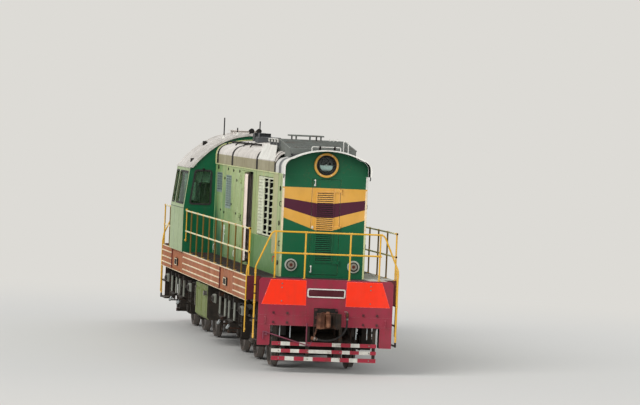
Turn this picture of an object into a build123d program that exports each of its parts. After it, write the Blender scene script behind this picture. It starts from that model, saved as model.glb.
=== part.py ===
from build123d import *
from math import ceil, cos, pi, sin, sqrt, tan
import os

# Six-axle diesel shunting locomotive with a long engine hood, an offset cab and a short rear hood.
# Millimetres. +X points to the radiator end, +Z up, and the origin lies midway between the coupler
# faces at the level of the lowest points of the wheel flanges.

os.makedirs("parts", exist_ok=True)

# Sizes that everything hangs on
flange_height = 28
wheel_radius = 525
axle_z = flange_height + wheel_radius
deck_top = 1884
deck_sheet = 10
deck_under = deck_top - deck_sheet
deck_half = 1520
beam_face = 8000
end_platform = 700
nose_x = beam_face - end_platform
rear_hood_end = -nose_x
panel_gap = 0.5
seat_gap = 0.3

# Frame
beam_plate = 40
beam_back = beam_face - beam_plate
beam_half = deck_half - 160
beam_corner = 80
lug_width = 240
lug_inner = beam_half - lug_width
lug_bottom = 541
beam_opening_top = 941
gusset_sheet = 20
gusset_depth = 220
gusset_rise = 300
number_plate_half = 390
number_plate_low = 1513
number_plate_high = 1706
number_plate_sheet = 8
sill_sheet = 30
sill_end = nose_x
sill_bottom = 1381
rib_depth = 30
rib_height = 50
rib_count = 3
rib_pitch = (deck_under + 9 - sill_bottom - rib_height) / (rib_count - 1)
pad_half_length = 1110
jack_hole = 160
jack_z = 1588
centre_sill_y = 350
centre_sill_width = 200
centre_sill_bottom = 1400
sill_web = 24
sill_flange = 30
cross_sheet = 20
cross_depth = 280

# Steps at the four corners
step_inner = deck_half - 270
step_outer = deck_half + 25
step_rear = nose_x + 80
stringer = 12
tread_levels = (600, 1000, 1400)
step_foot = tread_levels[0] - 40

# Couplers
coupler_z = 1083
pocket_half = 235
pocket_top = 1310
claw_height = 300
claw_round = 16
claw = (
    (150, -95),
    (270, -120),
    (390, -235),
    (590, -245),
    (610, -190),
    (575, -110),
    (450, -70),
    (440, 40),
    (500, 95),
    (600, 120),
    (585, 235),
    (400, 215),
    (270, 120),
    (150, 95),
)
shank_half = 85
shank_rear = 540
shank_front = 200
draft_gear_rear = 700
draft_gear_depth = 160
housing_depth = 95
housing_low = 950
housing_high = 1300
housing_hole_half = 130
housing_hole_low = 975
housing_hole_high = 1200

# Brake hoses, with their points measured out from the beam's face
hose_radius = 20
hose_route = (
    (150, 420, 1150),
    (150, 425, 960),
    (150, 330, 790),
    (150, 160, 690),
    (150, -20, 665),
    (150, -190, 700),
)
cock_radius = 30
cock_rise = 60
cock_pipe_radius = 26
hose_head_radius = 36
hose_head_length = 110
hook_rod_radius = 8
hook_top = 960
hook_plate = 30

# Uncoupling lever in front of the beam
lever_radius = 12
lever_outer = (-1250, 817)
lever_inner = (-303, 545)
lever_handle = 150
lever_bracket_y = -1190
lever_bracket_half = 25
lever_bracket_height = 75
lever_post_y = -367
lever_post_top = 1000

# Obstacle guards
guard_bars = ((544, 618), (402, 472), (244, 324))
guard_half = lug_inner - 60
guard_uprights = (lug_inner - 105, 330)
guard_upright = 60
guard_sheet = 30

# Hoods
hood_half = 865
hood_wall = 40
bulkhead = 30
eave_z = 3953
hood_split = nose_x - 3800
cover_end = nose_x - 1210
roof_turn_y = 707
shoulder_inset = hood_half - roof_turn_y
nose_shoulder_z = 4269
nose_crown = 4439
cover_shoulder_z = 4378
cover_crown = 4500
cover_sheet = 40
cover_seam = 6
rear_hood_crown = 3420
rear_shoulder_drop = 110

# Cab
cab_rear = rear_hood_end + 1670
cab_length = 2460
cab_front = cab_rear + cab_length
cab_half = deck_half + 55
kink_z = 2911
eave_half = cab_half - 116
cab_eave = 3826
cab_crown = 4648
arch_flank = (eave_half - 264, 4125)
arch_shoulder = (eave_half - 529, 4347)
cab_wall = 60
cab_floor = 60
floor_top = deck_top + cab_floor
roof_sheet = 45
roof_overhang = 50
window_low = 2990
window_high = 3720
window_corner = 60
window_z = (window_low + window_high) / 2
side_windows = ((cab_front - 1620, cab_front - 160), (cab_rear + 110, cab_rear + 620))
end_window_inner = hood_half + 100
end_window_low = kink_z + 84
end_window_high = cab_eave - 56
end_window_margin = 62
rear_window_low = 3480
rear_window_high = 3790
rear_window_y = 380
rear_window_width = 640
glass_sheet = 8
glass_play = 0.6
cab_hinge_levels = (2150, 2900, 3620)

# Doors
door_sheet = 34
door_gap = 8
hinge_offset = 23
arm_gap = 11
pin_radius = 9
pin_play = 0.3
knuckle_radius = 17
knuckle_length = 60
lug_height = 20
lug_play = 5
lug_length = 24
hinge_levels = (2200, 2900, 3650)
leaf_width = 580
leaf_post = 40
leaf_count = 3
leaf_first = hood_split - 520 - leaf_count * leaf_width - (leaf_count - 1) * leaf_post
leaf_bottom = deck_top + 60
leaf_top = eave_z - 63
stored_opening = 22
nose_door_low = -270
nose_door_high = 320
nose_door_top = eave_z - 75
cab_door_inner = hood_half + 35
cab_door_outer = eave_half - 74
cab_door_top = cab_eave - 36
door_window_margin = 92
door_window_height = 640
door_window_z = 3330

# Louvres in the fixed panels of the engine hood, each a run along the hood and two heights
louvres = (
    (cab_front + 330, cab_front + 1270, 3308, 3766),
    (cab_front + 1880, cab_front + 2800, 2983, 3738),
)
louvre_frame = 30
louvre_pitch = 54
slat_sheet = 6
slat_drop = 46

# Cooling group
shutter_rear = hood_split + 360
shutter_front = cover_end - 110
shutter_bottom = 2618
shutter_top = 3828
shutter_frame = 30
shutter_rows = 14
mullion = 65
fan_x = cover_end - 640
fan_radius = 600
fan_gap = 30
fan_z = 4340
fan_blade_height = 90
fan_hub = 130
blade_count = 8
blade_chord = 180
blade_sheet = 10
blade_angle = 28
box_rear = fan_x - 1400
box_front = fan_x + 1400
box_half = roof_turn_y + 13
box_foot = 4230
box_top = 4658
box_sheet = 30
grille_slats = 15
grille_bar = 16
bridge_half = 90
bridge_bottom = 3870
bridge_top = 3950
bearing_top = 4250
bearing_radius = 90
shaft_radius = 35

# Bogies
pivot_x = 4330
axle_step = 2000
pivot_radius = 150
pivot_play = 0.3
bogie_beam_inner = 1000
bogie_beam_outer = 1180
bogie_beam_bottom = 950
bogie_beam_top = 1230
bogie_end_top = 1150
headstock_inner = axle_step + wheel_radius + 55
headstock_outer = headstock_inner + 120
transom_x = axle_step / 2
transom_half = 60
transom_lift = 50
carrier_half = 260
carrier_bottom = 1090
carrier_top = 1290
bolster_half_length = 250
bolster_reach = 900
bolster_bottom = 1320
pivot_foot = carrier_bottom + 20
guide_inner = 205
guide_thick = 50
guide_bottom = axle_z - 113
box_half_height = 150
box_inner = 960
box_outer = 1200
box_round = 40
cover_radius = 125
cover_depth = 40
spring_radius = 88
spring_offset = 100
journal_radius = 75
journal_end = 1140
journal_play = 0.3
journal_room = 10
bracket_x = (310, 1140)
bracket_half = 45
bracket_height = 90
rod_y = deck_half - 35
rod_radius = 24
leaf_spring_x = (bracket_x[0] + bracket_x[1]) / 2
leaf_spring_half = 470
leaf_spring_top = 850
leaf_spring_width = 70
spring_leaf = 14
spring_leaves = 4
spring_step = 95

# Wheels, motors and brakes
wheel_back = 720
wheel_front = 850
hub_radius = 150
rim_inner = 440
axle_radius = 90
motor_radius = 380
motor_half = 500
motor_reach = 560
motor_lift = 50
suspension_radius = 170
shaft_gap = 7
shoe_gap = 12
shoe_depth = 50
shoe_inner = 760
shoe_outer = 840
hanger_radius = 22
arm_radius = 30
arm_z = 1000
cylinder_x = 2150
cylinder_half = 150
cylinder_radius = 100
cylinder_y = deck_half - 80
cylinder_z = 1120

# Underfloor
tank_front = pivot_x - headstock_outer - 680
tank_rear = headstock_outer + 530 - pivot_x
tank_half = deck_half - 50
tank_bottom = 574
tank_top = 1324
tank_chamfer = 60
hanger_half = 60
hanger_inset = 160
reservoir_radius = 135
reservoir_half = 1150
reservoir_dome = 60
reservoir_front = tank_front + 325
reservoir_rear = tank_rear - 225
reservoir_z = 1130

# Handrails
rail_radius = 17
rail_y = deck_half - 20
rail_top = 2828
rail_mid = 2360
post_first = cab_front + 980
post_last = nose_x + 60
post_bays = 9
rear_post = rear_hood_end + 1000
end_rail_x = beam_face - 20
end_rail_top = 2817
end_rail_mid = 2388
end_post_outer = beam_half - 300
end_post_inner = 455
corner_rail_y = deck_half - 75
corner_rail_foot = 668
corner_rail_knee = 2102
corner_rail_turn = beam_half - 228
corner_bend = 120
bend_step = 18
step_rail_radius = 14
step_rail_foot = 750
step_rail_bend = deck_top + 80
step_rail_drop = 140
bracket_width = 30
bracket_rise = 40


# Drawing helpers
def across(x):
    """Plane across the locomotive at X, drawn as Y and Z, facing forward."""
    return Plane.YZ.offset(x)


def along(y):
    """Upright plane along the locomotive at Y, drawn as X and Z, facing -Y."""
    return Plane(origin=(0, y, 0), x_dir=(1, 0, 0), z_dir=(0, -1, 0))


def block(x, y, z, mode=Mode.ADD):
    """Plain block between two values along each axis."""
    with BuildSketch(Plane.XY.offset(z[0])) as base:
        with Locations(((x[0] + x[1]) / 2, (y[0] + y[1]) / 2)):
            Rectangle(x[1] - x[0], y[1] - y[0])
    extrude(base.sketch, amount=z[1] - z[0], mode=mode)


def sheet(plane, points, depth, mode=Mode.ADD):
    """Straight-sided outline pushed out along its plane's normal."""
    with BuildSketch(plane) as outline:
        with BuildLine():
            Polyline(*points, close=True)
        make_face()
    extrude(outline.sketch, amount=depth, mode=mode)


def bar(start, end, radius, mode=Mode.ADD):
    """Round bar from one point to another."""
    run = Vector(*end) - Vector(*start)
    with BuildSketch(Plane(origin=start, z_dir=run.normalized())) as disc:
        Circle(radius)
    extrude(disc.sketch, amount=run.length, mode=mode)


def both_sides(low, high):
    """The same span of Y on the right and the left of the locomotive."""
    return ((-high, -low), (low, high))


def finish(part, name):
    """Names a finished piece and writes it."""
    part.label = name
    export_step(part, f"parts/{name}.step")


def gather(name, *parts):
    """Writes pieces that touch but stay separate solids, as welded or bolted plates do."""
    whole = Compound([solid for part in parts for solid in part.solids()])
    finish(whole, name)


def plate(x, y, z):
    """One plate as a piece of its own."""
    with BuildPart() as piece:
        block(x, y, z)
    return piece.part


def split_panel(run, rise, openings):
    """Runs and rises of the plates round a panel's openings, each opening a run and two heights."""
    spans = []
    start = run[0]
    for left, right, low, high in openings:
        spans.append(((start, left), rise))
        spans.append(((left, right), (rise[0], low)))
        spans.append(((left, right), (high, rise[1])))
        start = right
    spans.append(((start, run[1]), rise))
    return spans


def eased(points, bend):
    """Route whose corners become short chords of an arc."""
    route = [Vector(*points[0])]
    for before, corner, after in zip(points[:-2], points[1:-1], points[2:]):
        into = (Vector(*corner) - Vector(*before)).normalized()
        out = (Vector(*after) - Vector(*corner)).normalized()
        turn = into.get_angle(out)
        inward = (out - into * cos(turn * pi / 180)) * (1 / sin(turn * pi / 180))
        entry = Vector(*corner) - into * (bend * tan(turn * pi / 360))
        steps = ceil(turn / bend_step)
        for index in range(steps + 1):
            angle = turn * index / steps * pi / 180
            route.append(entry + into * (bend * sin(angle)) + inward * (bend * (1 - cos(angle))))
    route.append(Vector(*points[-1]))
    return route


def mitred_bar(route, radius):
    """Round bar along straight runs, each run a piece cut on the mitre where it meets the next."""
    pieces = []
    last = len(route) - 2
    for index in range(last + 1):
        start = route[index]
        end = route[index + 1]
        run = (end - start).normalized()
        low = start if index == 0 else start - run * radius
        high = end if index == last else end + run * radius
        with BuildPart() as piece:
            bar(low, high, radius)
            if index > 0:
                before = (start - route[index - 1]).normalized()
                split(bisect_by=Plane(origin=start, z_dir=before + run), keep=Keep.TOP)
            if index < last:
                after = (route[index + 2] - end).normalized()
                split(bisect_by=Plane(origin=end, z_dir=run + after), keep=Keep.BOTTOM)
        pieces.append(piece.part)
    return pieces


def hood_section(shoulder_z, crown, inset=0.0, eave=eave_z, turn_inset=shoulder_inset):
    """Outline of a hood's round roof above its eave, drawn across the locomotive."""
    half = hood_half - inset
    knee = (half, eave + 0.5 * (shoulder_z - eave))
    turn = (hood_half - turn_inset - 0.5 * inset, shoulder_z - inset)
    bend = ((knee[0] + turn[0]) / 2 + 32, (knee[1] + turn[1]) / 2 + 22)
    with BuildLine() as roof:
        Polyline((-half, eave), (half, eave), knee)
        ThreePointArc(knee, bend, turn)
        ThreePointArc(turn, (0, crown - inset), (-turn[0], turn[1]))
        ThreePointArc((-turn[0], turn[1]), (-bend[0], bend[1]), (-knee[0], knee[1]))
        Line((-knee[0], knee[1]), (-half, eave))
    make_face(roof.edges())


def cab_arch(inset=0.0):
    """Round roof of the cab above its eave, drawn across the locomotive."""
    eave = (eave_half - 1.36 * inset, cab_eave)
    flank = (arch_flank[0] - 0.73 * inset, arch_flank[1] - 0.68 * inset)
    shoulder = (arch_shoulder[0] - 0.6 * inset, arch_shoulder[1] - 0.8 * inset)
    crown = (0, cab_crown - inset)
    with BuildLine() as roof:
        ThreePointArc(eave, flank, shoulder)
        ThreePointArc(shoulder, crown, (-shoulder[0], shoulder[1]))
        ThreePointArc((-shoulder[0], shoulder[1]), (-flank[0], flank[1]), (-eave[0], eave[1]))
        Line((-eave[0], eave[1]), eave)
    make_face(roof.edges())


# Deck plates, notched at the corners for the steps
with BuildPart() as deck_middle:
    block((-beam_back, beam_back), (-step_inner, step_inner), (deck_under, deck_top))
with BuildPart() as deck_sides:
    for side in both_sides(step_inner, deck_half):
        block((-step_rear, step_rear), side, (deck_under, deck_top))

# Centre sills: upright webs on bottom flanges
with BuildPart() as sill_webs:
    for side in both_sides(centre_sill_y, centre_sill_y + sill_web):
        block((-beam_back, beam_back), side, (centre_sill_bottom + sill_flange, deck_under))
with BuildPart() as sill_flanges:
    for side in both_sides(centre_sill_y, centre_sill_y + centre_sill_width):
        block((-beam_back, beam_back), side, (centre_sill_bottom, centre_sill_bottom + sill_flange))

# Cross members under the deck
cross_places = (0, 1500, pivot_x - 1430, pivot_x + 1570, beam_face - 900)
with BuildPart() as cross_members:
    for x in sorted({end * place for place in cross_places for end in (-1, 1)}):
        span = (x - cross_sheet / 2, x + cross_sheet / 2)
        for side in both_sides(centre_sill_y + sill_web, deck_half - sill_sheet):
            block(span, side, (deck_under - cross_depth, deck_under))
        block(span, (-centre_sill_y, centre_sill_y), (deck_under - cross_depth, deck_under))

# Bolsters over the bogies, with their centre pins
with BuildPart() as bolster_plates:
    for x in (-pivot_x, pivot_x):
        span = (x - bolster_half_length, x + bolster_half_length)
        block(span, (-bolster_reach, bolster_reach), (bolster_bottom, centre_sill_bottom))
with BuildPart() as bolster_boxes:
    for x in (-pivot_x, pivot_x):
        span = (x - bolster_half_length, x + bolster_half_length)
        block(span, (-centre_sill_y, centre_sill_y), (centre_sill_bottom, deck_under))
        for side in (-1, 1):
            web_y = side * (centre_sill_y + sill_web)
            flange_y = side * (centre_sill_y + centre_sill_width)
            outline = (
                (web_y, centre_sill_bottom + sill_flange),
                (flange_y, centre_sill_bottom + sill_flange),
                (flange_y, centre_sill_bottom),
                (side * bolster_reach, centre_sill_bottom),
                (side * bolster_reach, deck_under),
                (web_y, deck_under),
            )
            sheet(across(span[0]), outline, 2 * bolster_half_length)
with BuildPart() as pivot_pins:
    for x in (-pivot_x, pivot_x):
        bar((x, 0, bolster_bottom), (x, 0, pivot_foot), pivot_radius)
        chamfer(pivot_pins.edges().group_by(Axis.Z)[0].filter_by(GeomType.CIRCLE), 12)

gather(
    "main_frame",
    deck_middle.part,
    deck_sides.part,
    sill_webs.part,
    sill_flanges.part,
    cross_members.part,
    bolster_plates.part,
    bolster_boxes.part,
    pivot_pins.part,
)

# Side sills with their ribs, and jacking pads with square holes
with BuildPart() as sill_skins:
    for side in both_sides(deck_half - sill_sheet, deck_half):
        block((-sill_end, sill_end), side, (sill_bottom, deck_under))
with BuildPart() as sill_ribs:
    inner_end = pivot_x - pad_half_length
    outer_end = pivot_x + pad_half_length
    for run in ((-sill_end, -outer_end), (-inner_end, inner_end), (outer_end, sill_end)):
        for side in both_sides(deck_half, deck_half + rib_depth):
            for row in range(rib_count):
                low = sill_bottom + row * rib_pitch
                block(run, side, (low, low + rib_height))
with BuildPart() as sill_pads:
    for x in (-pivot_x, pivot_x):
        for side in both_sides(deck_half, deck_half + rib_depth):
            block((x - pad_half_length, x + pad_half_length), side, (sill_bottom, deck_under))
            hole = (x - jack_hole / 2, x + jack_hole / 2)
            block(hole, side, (jack_z - jack_hole / 2, jack_z + jack_hole / 2), mode=Mode.SUBTRACT)
gather("side_sills", sill_skins.part, sill_ribs.part, sill_pads.part)

# Buffer beams, open at the coupler and cut away under the middle
with BuildPart() as beam_plates:
    for end in (-1, 1):
        outline = (
            (-beam_half, deck_top),
            (beam_half, deck_top),
            (beam_half, lug_bottom),
            (lug_inner, lug_bottom),
            (lug_inner, beam_opening_top),
            (-lug_inner, beam_opening_top),
            (-lug_inner, lug_bottom),
            (-beam_half, lug_bottom),
        )
        sheet(across(end * beam_back), outline, end * beam_plate)
        depth = sorted((end * beam_back, end * beam_face))
        block(depth, (-pocket_half, pocket_half), (beam_opening_top, pocket_top), mode=Mode.SUBTRACT)
    top_corners = beam_plates.edges().filter_by(Axis.X).group_by(Axis.Z)[-1]
    fillet(top_corners, beam_corner)
with BuildPart() as beam_gussets:
    for end in (-1, 1):
        depth = sorted((end * (beam_back - gusset_depth), end * beam_back))
        for side in both_sides(lug_inner, lug_inner + gusset_sheet):
            block(depth, side, (lug_bottom, beam_opening_top + gusset_rise))
with BuildPart() as plate_pads:
    for end in (-1, 1):
        depth = sorted((end * beam_face, end * (beam_face + number_plate_sheet)))
        block(depth, (-number_plate_half, number_plate_half), (number_plate_low, number_plate_high))
gather("buffer_beams", beam_plates.part, beam_gussets.part, plate_pads.part)

# Corner steps: stringers and the treads between them
with BuildPart() as step_stringers:
    for end in (-1, 1):
        for side in both_sides(step_inner, step_outer):
            for x in (step_rear, beam_back - stringer):
                span = sorted((end * x, end * (x + stringer)))
                block(span, side, (step_foot, deck_top))
with BuildPart() as step_treads:
    for end in (-1, 1):
        span = sorted((end * (step_rear + stringer), end * (beam_back - stringer)))
        for side in both_sides(step_inner, step_outer):
            for level in tread_levels:
                block(span, side, (level, level + stringer))
gather("corner_steps", step_stringers.part, step_treads.part)

# Automatic couplers: a claw head on a shank, its housing, the draft gear and the uncoupling lever
with BuildPart() as coupler_bodies:
    for end in (-1, 1):
        turned = [(end * (beam_face + x), end * y) for x, y in claw]
        sheet(Plane.XY.offset(coupler_z - claw_height / 2), turned, claw_height)
    fillet(coupler_bodies.edges().filter_by(Axis.Z), claw_round)
    for end in (-1, 1):
        shank = sorted((end * (beam_face - shank_rear), end * (beam_face + shank_front)))
        block(shank, (-shank_half, shank_half), (coupler_z - shank_half, coupler_z + shank_half))
with BuildPart() as draft_gears:
    for end in (-1, 1):
        depth = sorted((end * (beam_face - draft_gear_rear), end * (beam_face - shank_rear)))
        reach = centre_sill_y + 60
        block(depth, (-reach, reach), (coupler_z - draft_gear_depth, centre_sill_bottom))
with BuildPart() as coupler_housings:
    for end in (-1, 1):
        depth = sorted((end * beam_face, end * (beam_face + housing_depth)))
        block(depth, (-pocket_half, pocket_half), (housing_low, housing_high))
        hole = (-housing_hole_half, housing_hole_half)
        block(depth, hole, (housing_hole_low, housing_hole_high), mode=Mode.SUBTRACT)
        hose_x = beam_face + hose_route[-1][0]
        tail = Vector(*hose_route[-1]) - Vector(*hose_route[-2])
        head = Vector(*hose_route[-1]) + tail.normalized() * hose_head_length
        start = (end * hose_x, end * hose_route[-1][1], hose_route[-1][2])
        bar(start, (end * hose_x, end * head.Y, head.Z), hose_head_radius)
        hook_y = end * (hose_route[-1][1] + head.Y) / 2
        bar((end * hose_x, hook_y, hook_top), (end * hose_x, hook_y, head.Z), hook_rod_radius)
        hanger = sorted((end * (beam_face + housing_depth), end * (hose_x + hook_rod_radius)))
        block(hanger, (hook_y - 12, hook_y + 12), (housing_low, housing_low + hook_plate))
with BuildPart() as brake_cocks:
    for end in (-1, 1):
        out, cock_y, cock_z = hose_route[0]
        pipe_z = cock_z + cock_rise
        tip = (end * (beam_face + out), end * cock_y, pipe_z)
        bar((end * beam_face, end * cock_y, pipe_z), tip, cock_pipe_radius)
        top = (end * (beam_face + out), end * cock_y, pipe_z + cock_pipe_radius)
        bar(top, (top[0], top[1], cock_z + 2 * seat_gap), cock_radius)
with BuildPart() as lever_rods:
    for end in (-1, 1):
        x = end * (beam_face + 3 * lever_radius)
        outer = (x, end * lever_outer[0], lever_outer[1])
        bar(outer, (x, end * lever_inner[0], lever_inner[1]), lever_radius)
        bar(outer, (x, end * lever_outer[0], lever_outer[1] - lever_handle), lever_radius)
with BuildPart() as lever_brackets:
    for end in (-1, 1):
        depth = sorted((end * beam_face, end * (beam_face + 2 * lever_radius)))
        middle = end * lever_bracket_y
        low = lever_outer[1] - lever_bracket_height
        block(depth, (middle - lever_bracket_half, middle + lever_bracket_half), (low, lever_outer[1]))
        x = end * (beam_face + lever_radius)
        bar((x, end * lever_post_y, lever_post_top), (x, end * lever_post_y, lever_inner[1]), lever_radius)
gather(
    "couplers",
    coupler_bodies.part,
    draft_gears.part,
    coupler_housings.part,
    brake_cocks.part,
    lever_rods.part,
    lever_brackets.part,
)

# Brake hoses, each from its cock to the head hooked under the coupler
with BuildPart() as brake_hoses:
    for end in (-1, 1):
        route = [(end * (beam_face + x), end * y, z) for x, y, z in hose_route]
        with BuildLine() as hose_line:
            last = route[0]
            for index in range(1, len(route) - 1):
                before = Vector(*route[index]) - Vector(*route[index - 1])
                after = Vector(*route[index + 1]) - Vector(*route[index])
                half_turn = before.get_angle(after) * pi / 360
                cut = 0.45 * min(before.length, after.length)
                print("hose arc radius", round(cut / tan(half_turn)))
                entry = Vector(*route[index]) - before.normalized() * cut
                leave = Vector(*route[index]) + after.normalized() * cut
                Line(last, entry)
                TangentArc(entry, leave, tangent=before)
                last = leave
            Line(last, route[-1])
        with BuildSketch(Plane(origin=hose_line.line @ 0, z_dir=hose_line.line % 0)) as bore:
            Circle(hose_radius)
        sweep(bore.sketch, path=hose_line.wires()[0])
        length = hose_line.wires()[0].length
        print("hose length", round(length), "section times length", round(pi * hose_radius**2 * length))
    print("hose volumes", [round(solid.volume) for solid in brake_hoses.solids()])
finish(brake_hoses.part, "brake_hoses")

# Obstacle guards: three bars on uprights under each beam
with BuildPart() as guard_posts:
    for end in (-1, 1):
        depth = sorted((end * (beam_back - guard_upright), end * beam_back))
        for place in guard_uprights:
            for y in (-place, place):
                width = (y - guard_upright / 2, y + guard_upright / 2)
                block(depth, width, (guard_bars[-1][0], beam_opening_top + 2 * guard_upright))
with BuildPart() as guard_rails:
    for end in (-1, 1):
        depth = sorted((end * beam_back, end * (beam_back + guard_sheet)))
        for low, high in guard_bars:
            block(depth, (-guard_half, guard_half), (low, high))
gather("obstacle_guards", guard_posts.part, guard_rails.part)

# Handrails along the walkways
post_pitch = (post_last - post_first) / post_bays
post_places = [post_first + bay * post_pitch for bay in range(post_bays + 1)] + [rear_post, -post_last]
with BuildPart() as side_rails:
    for y in (-rail_y, rail_y):
        for z in (rail_mid, rail_top):
            bar((cab_front, y, z), (post_last + rail_radius, y, z), rail_radius)
            bar((-post_last - rail_radius, y, z), (cab_rear, y, z), rail_radius)
with BuildPart() as side_posts:
    for y in (-rail_y, rail_y):
        for x in post_places:
            bar((x, y, deck_top), (x, y, rail_mid - rail_radius), rail_radius)
            bar((x, y, rail_mid + rail_radius), (x, y, rail_top - rail_radius), rail_radius)
step_rails = []
step_rail_y = deck_half + rail_radius + seat_gap
with BuildPart() as step_rail_pads:
    for end in (-1, 1):
        for side in (-1, 1):
            x = end * post_last
            route = (
                (x, side * (rail_y + rail_radius), step_rail_bend + step_rail_drop),
                (x, side * step_rail_y, step_rail_bend),
                (x, side * step_rail_y, step_rail_foot),
            )
            step_rails += mitred_bar([Vector(*point) for point in route], step_rail_radius)
            run = sorted((end * (post_last + step_rail_radius), end * step_rear))
            width = sorted((side * (step_rail_y - rail_radius), side * (step_rail_y + rail_radius / 2)))
            block(run, width, (step_rail_foot + bracket_rise, step_rail_foot + 2 * bracket_rise))
gather("side_railings", side_rails.part, side_posts.part, *step_rails, step_rail_pads.part)

# Handrails across the ends, with corner rails that run down outside the beams
corner_rails = []
for end in (-1, 1):
    x = end * end_rail_x
    corners = (
        (x, -corner_rail_y, corner_rail_foot),
        (x, -corner_rail_y, corner_rail_knee),
        (x, -corner_rail_turn, end_rail_top),
        (x, corner_rail_turn, end_rail_top),
        (x, corner_rail_y, corner_rail_knee),
        (x, corner_rail_y, corner_rail_foot),
    )
    corner_rails += mitred_bar(eased(corners, corner_bend), rail_radius)
with BuildPart() as end_posts:
    for x in (-end_rail_x, end_rail_x):
        for y in (-end_post_outer, -end_post_inner, end_post_inner, end_post_outer):
            bar((x, y, deck_top), (x, y, end_rail_mid - rail_radius), rail_radius)
            bar((x, y, end_rail_mid + rail_radius), (x, y, end_rail_top - rail_radius), rail_radius)
with BuildPart() as end_bars:
    reach = end_post_outer + rail_radius
    for x in (-end_rail_x, end_rail_x):
        bar((x, -reach, end_rail_mid), (x, reach, end_rail_mid), rail_radius)
with BuildPart() as corner_brackets:
    for end in (-1, 1):
        depth = sorted((end * beam_back, end * (end_rail_x - rail_radius)))
        for side in both_sides(corner_rail_y - bracket_width / 2, corner_rail_y + bracket_width / 2):
            for low in (corner_rail_foot + bracket_rise, deck_under - 2 * bracket_rise):
                block(depth, side, (low, low + bracket_rise))
gather("end_railings", *corner_rails, end_posts.part, end_bars.part, corner_brackets.part)


# Door hinges
def hinge_lugs(z, x, y):
    """Two lugs on a wall, above and below a knuckle at z."""
    reach = knuckle_length / 2 + lug_play
    for low in (z - reach - lug_height, z + reach):
        block(x, y, (low, low + lug_height))


def hinge_pin(x, y, z):
    """Pin between the two lugs."""
    reach = knuckle_length / 2 + lug_play
    bar((x, y, z - reach), (x, y, z + reach), pin_radius)


def hinge_knuckle(x, y, z, arm, strap):
    """Tube that turns on a pin, with an arm clear of the wall and a strap on the leaf, as X and Y spans."""
    low = z - knuckle_length / 2
    bar((x, y, low), (x, y, low + knuckle_length), knuckle_radius)
    block(arm[0], arm[1], (low, low + knuckle_length))
    block(strap[0], strap[1], (low, low + knuckle_length))
    bar((x, y, low - 1), (x, y, low + knuckle_length + 1), pin_radius + pin_play, mode=Mode.SUBTRACT)


def slatted_panel(x, z, side, frame, rows):
    """Framed panel of slanted slats that fills an opening of a hood's side."""
    inner = side * (hood_half - hood_wall)
    outer = side * hood_half
    depth = sorted((inner, outer))
    block(x, depth, z)
    inside = (x[0] + frame, x[1] - frame)
    block(inside, depth, (z[0] + frame, z[1] - frame), mode=Mode.SUBTRACT)
    row = (z[1] - z[0] - 2 * frame) / rows
    for index in range(rows):
        middle = z[0] + frame + (index + 0.5) * row
        slat = (
            (inner, middle + slat_drop / 2 + slat_sheet / 2),
            (inner, middle + slat_drop / 2 - slat_sheet / 2),
            (outer, middle - slat_drop / 2 - slat_sheet / 2),
            (outer, middle - slat_drop / 2 + slat_sheet / 2),
        )
        sheet(across(inside[0] - 1), slat, inside[1] - inside[0] + 2)


# Engine hood: side plates round the louvres and doors, lugs and pins, and the bulkhead by the cab
leaf_starts = [leaf_first + row * (leaf_width + leaf_post) for row in range(leaf_count)]
hood_openings = list(louvres) + [(start, start + leaf_width, leaf_bottom, leaf_top) for start in leaf_starts]
hood_plates = []
for side in both_sides(hood_half - hood_wall, hood_half):
    for run, rise in split_panel((cab_front, hood_split - panel_gap), (deck_top, eave_z), hood_openings):
        hood_plates.append(plate(run, side, rise))
between_sides = (hood_wall - hood_half, hood_half - hood_wall)
hood_plates.append(plate((cab_front, cab_front + bulkhead), between_sides, (deck_top, eave_z)))
with BuildPart() as hood_louvres:
    for side in (-1, 1):
        for left, right, low, high in louvres:
            rows = round((high - low - 2 * louvre_frame) / louvre_pitch)
            slatted_panel((left, right), (low, high), side, louvre_frame, rows)
with BuildPart() as hood_lugs:
    for side in both_sides(hood_half, hood_half + hinge_offset + pin_radius):
        for start in leaf_starts:
            for z in hinge_levels:
                hinge_lugs(z, (start - 4 - lug_length, start - 4), side)
with BuildPart() as hood_pins:
    for side in (-1, 1):
        for start in leaf_starts:
            for z in hinge_levels:
                hinge_pin(start - 4, side * (hood_half + hinge_offset), z)
gather("engine_hood", *hood_plates, hood_louvres.part, hood_lugs.part, hood_pins.part)

# Engine room doors, one stored partly open
for side, side_name in ((-1, "right"), (1, "left")):
    for start, place in zip(leaf_starts, ("rear", "middle", "front")):
        axis_x = start - 4
        axis_y = side * (hood_half + hinge_offset)
        body = sorted((side * (hood_half - door_sheet), side * hood_half))
        with BuildPart() as leaf:
            opening = (start + door_gap, start + leaf_width - door_gap)
            block(opening, body, (leaf_bottom + door_gap, leaf_top - door_gap))
            arm_y = sorted((side * (hood_half + arm_gap), axis_y))
            strap_y = sorted((side * hood_half, axis_y))
            arm = ((axis_x, start + 40), arm_y)
            strap = ((start + door_gap, start + 120), strap_y)
            for z in hinge_levels:
                hinge_knuckle(axis_x, axis_y, z, arm, strap)
        name = f"{side_name}_{place}_engine_door"
        turn = side * stored_opening if (side, place) == (-1, "front") else 0
        finish(leaf.part.rotate(Axis((axis_x, axis_y, 0), (0, 0, 1)), turn), name)

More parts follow.
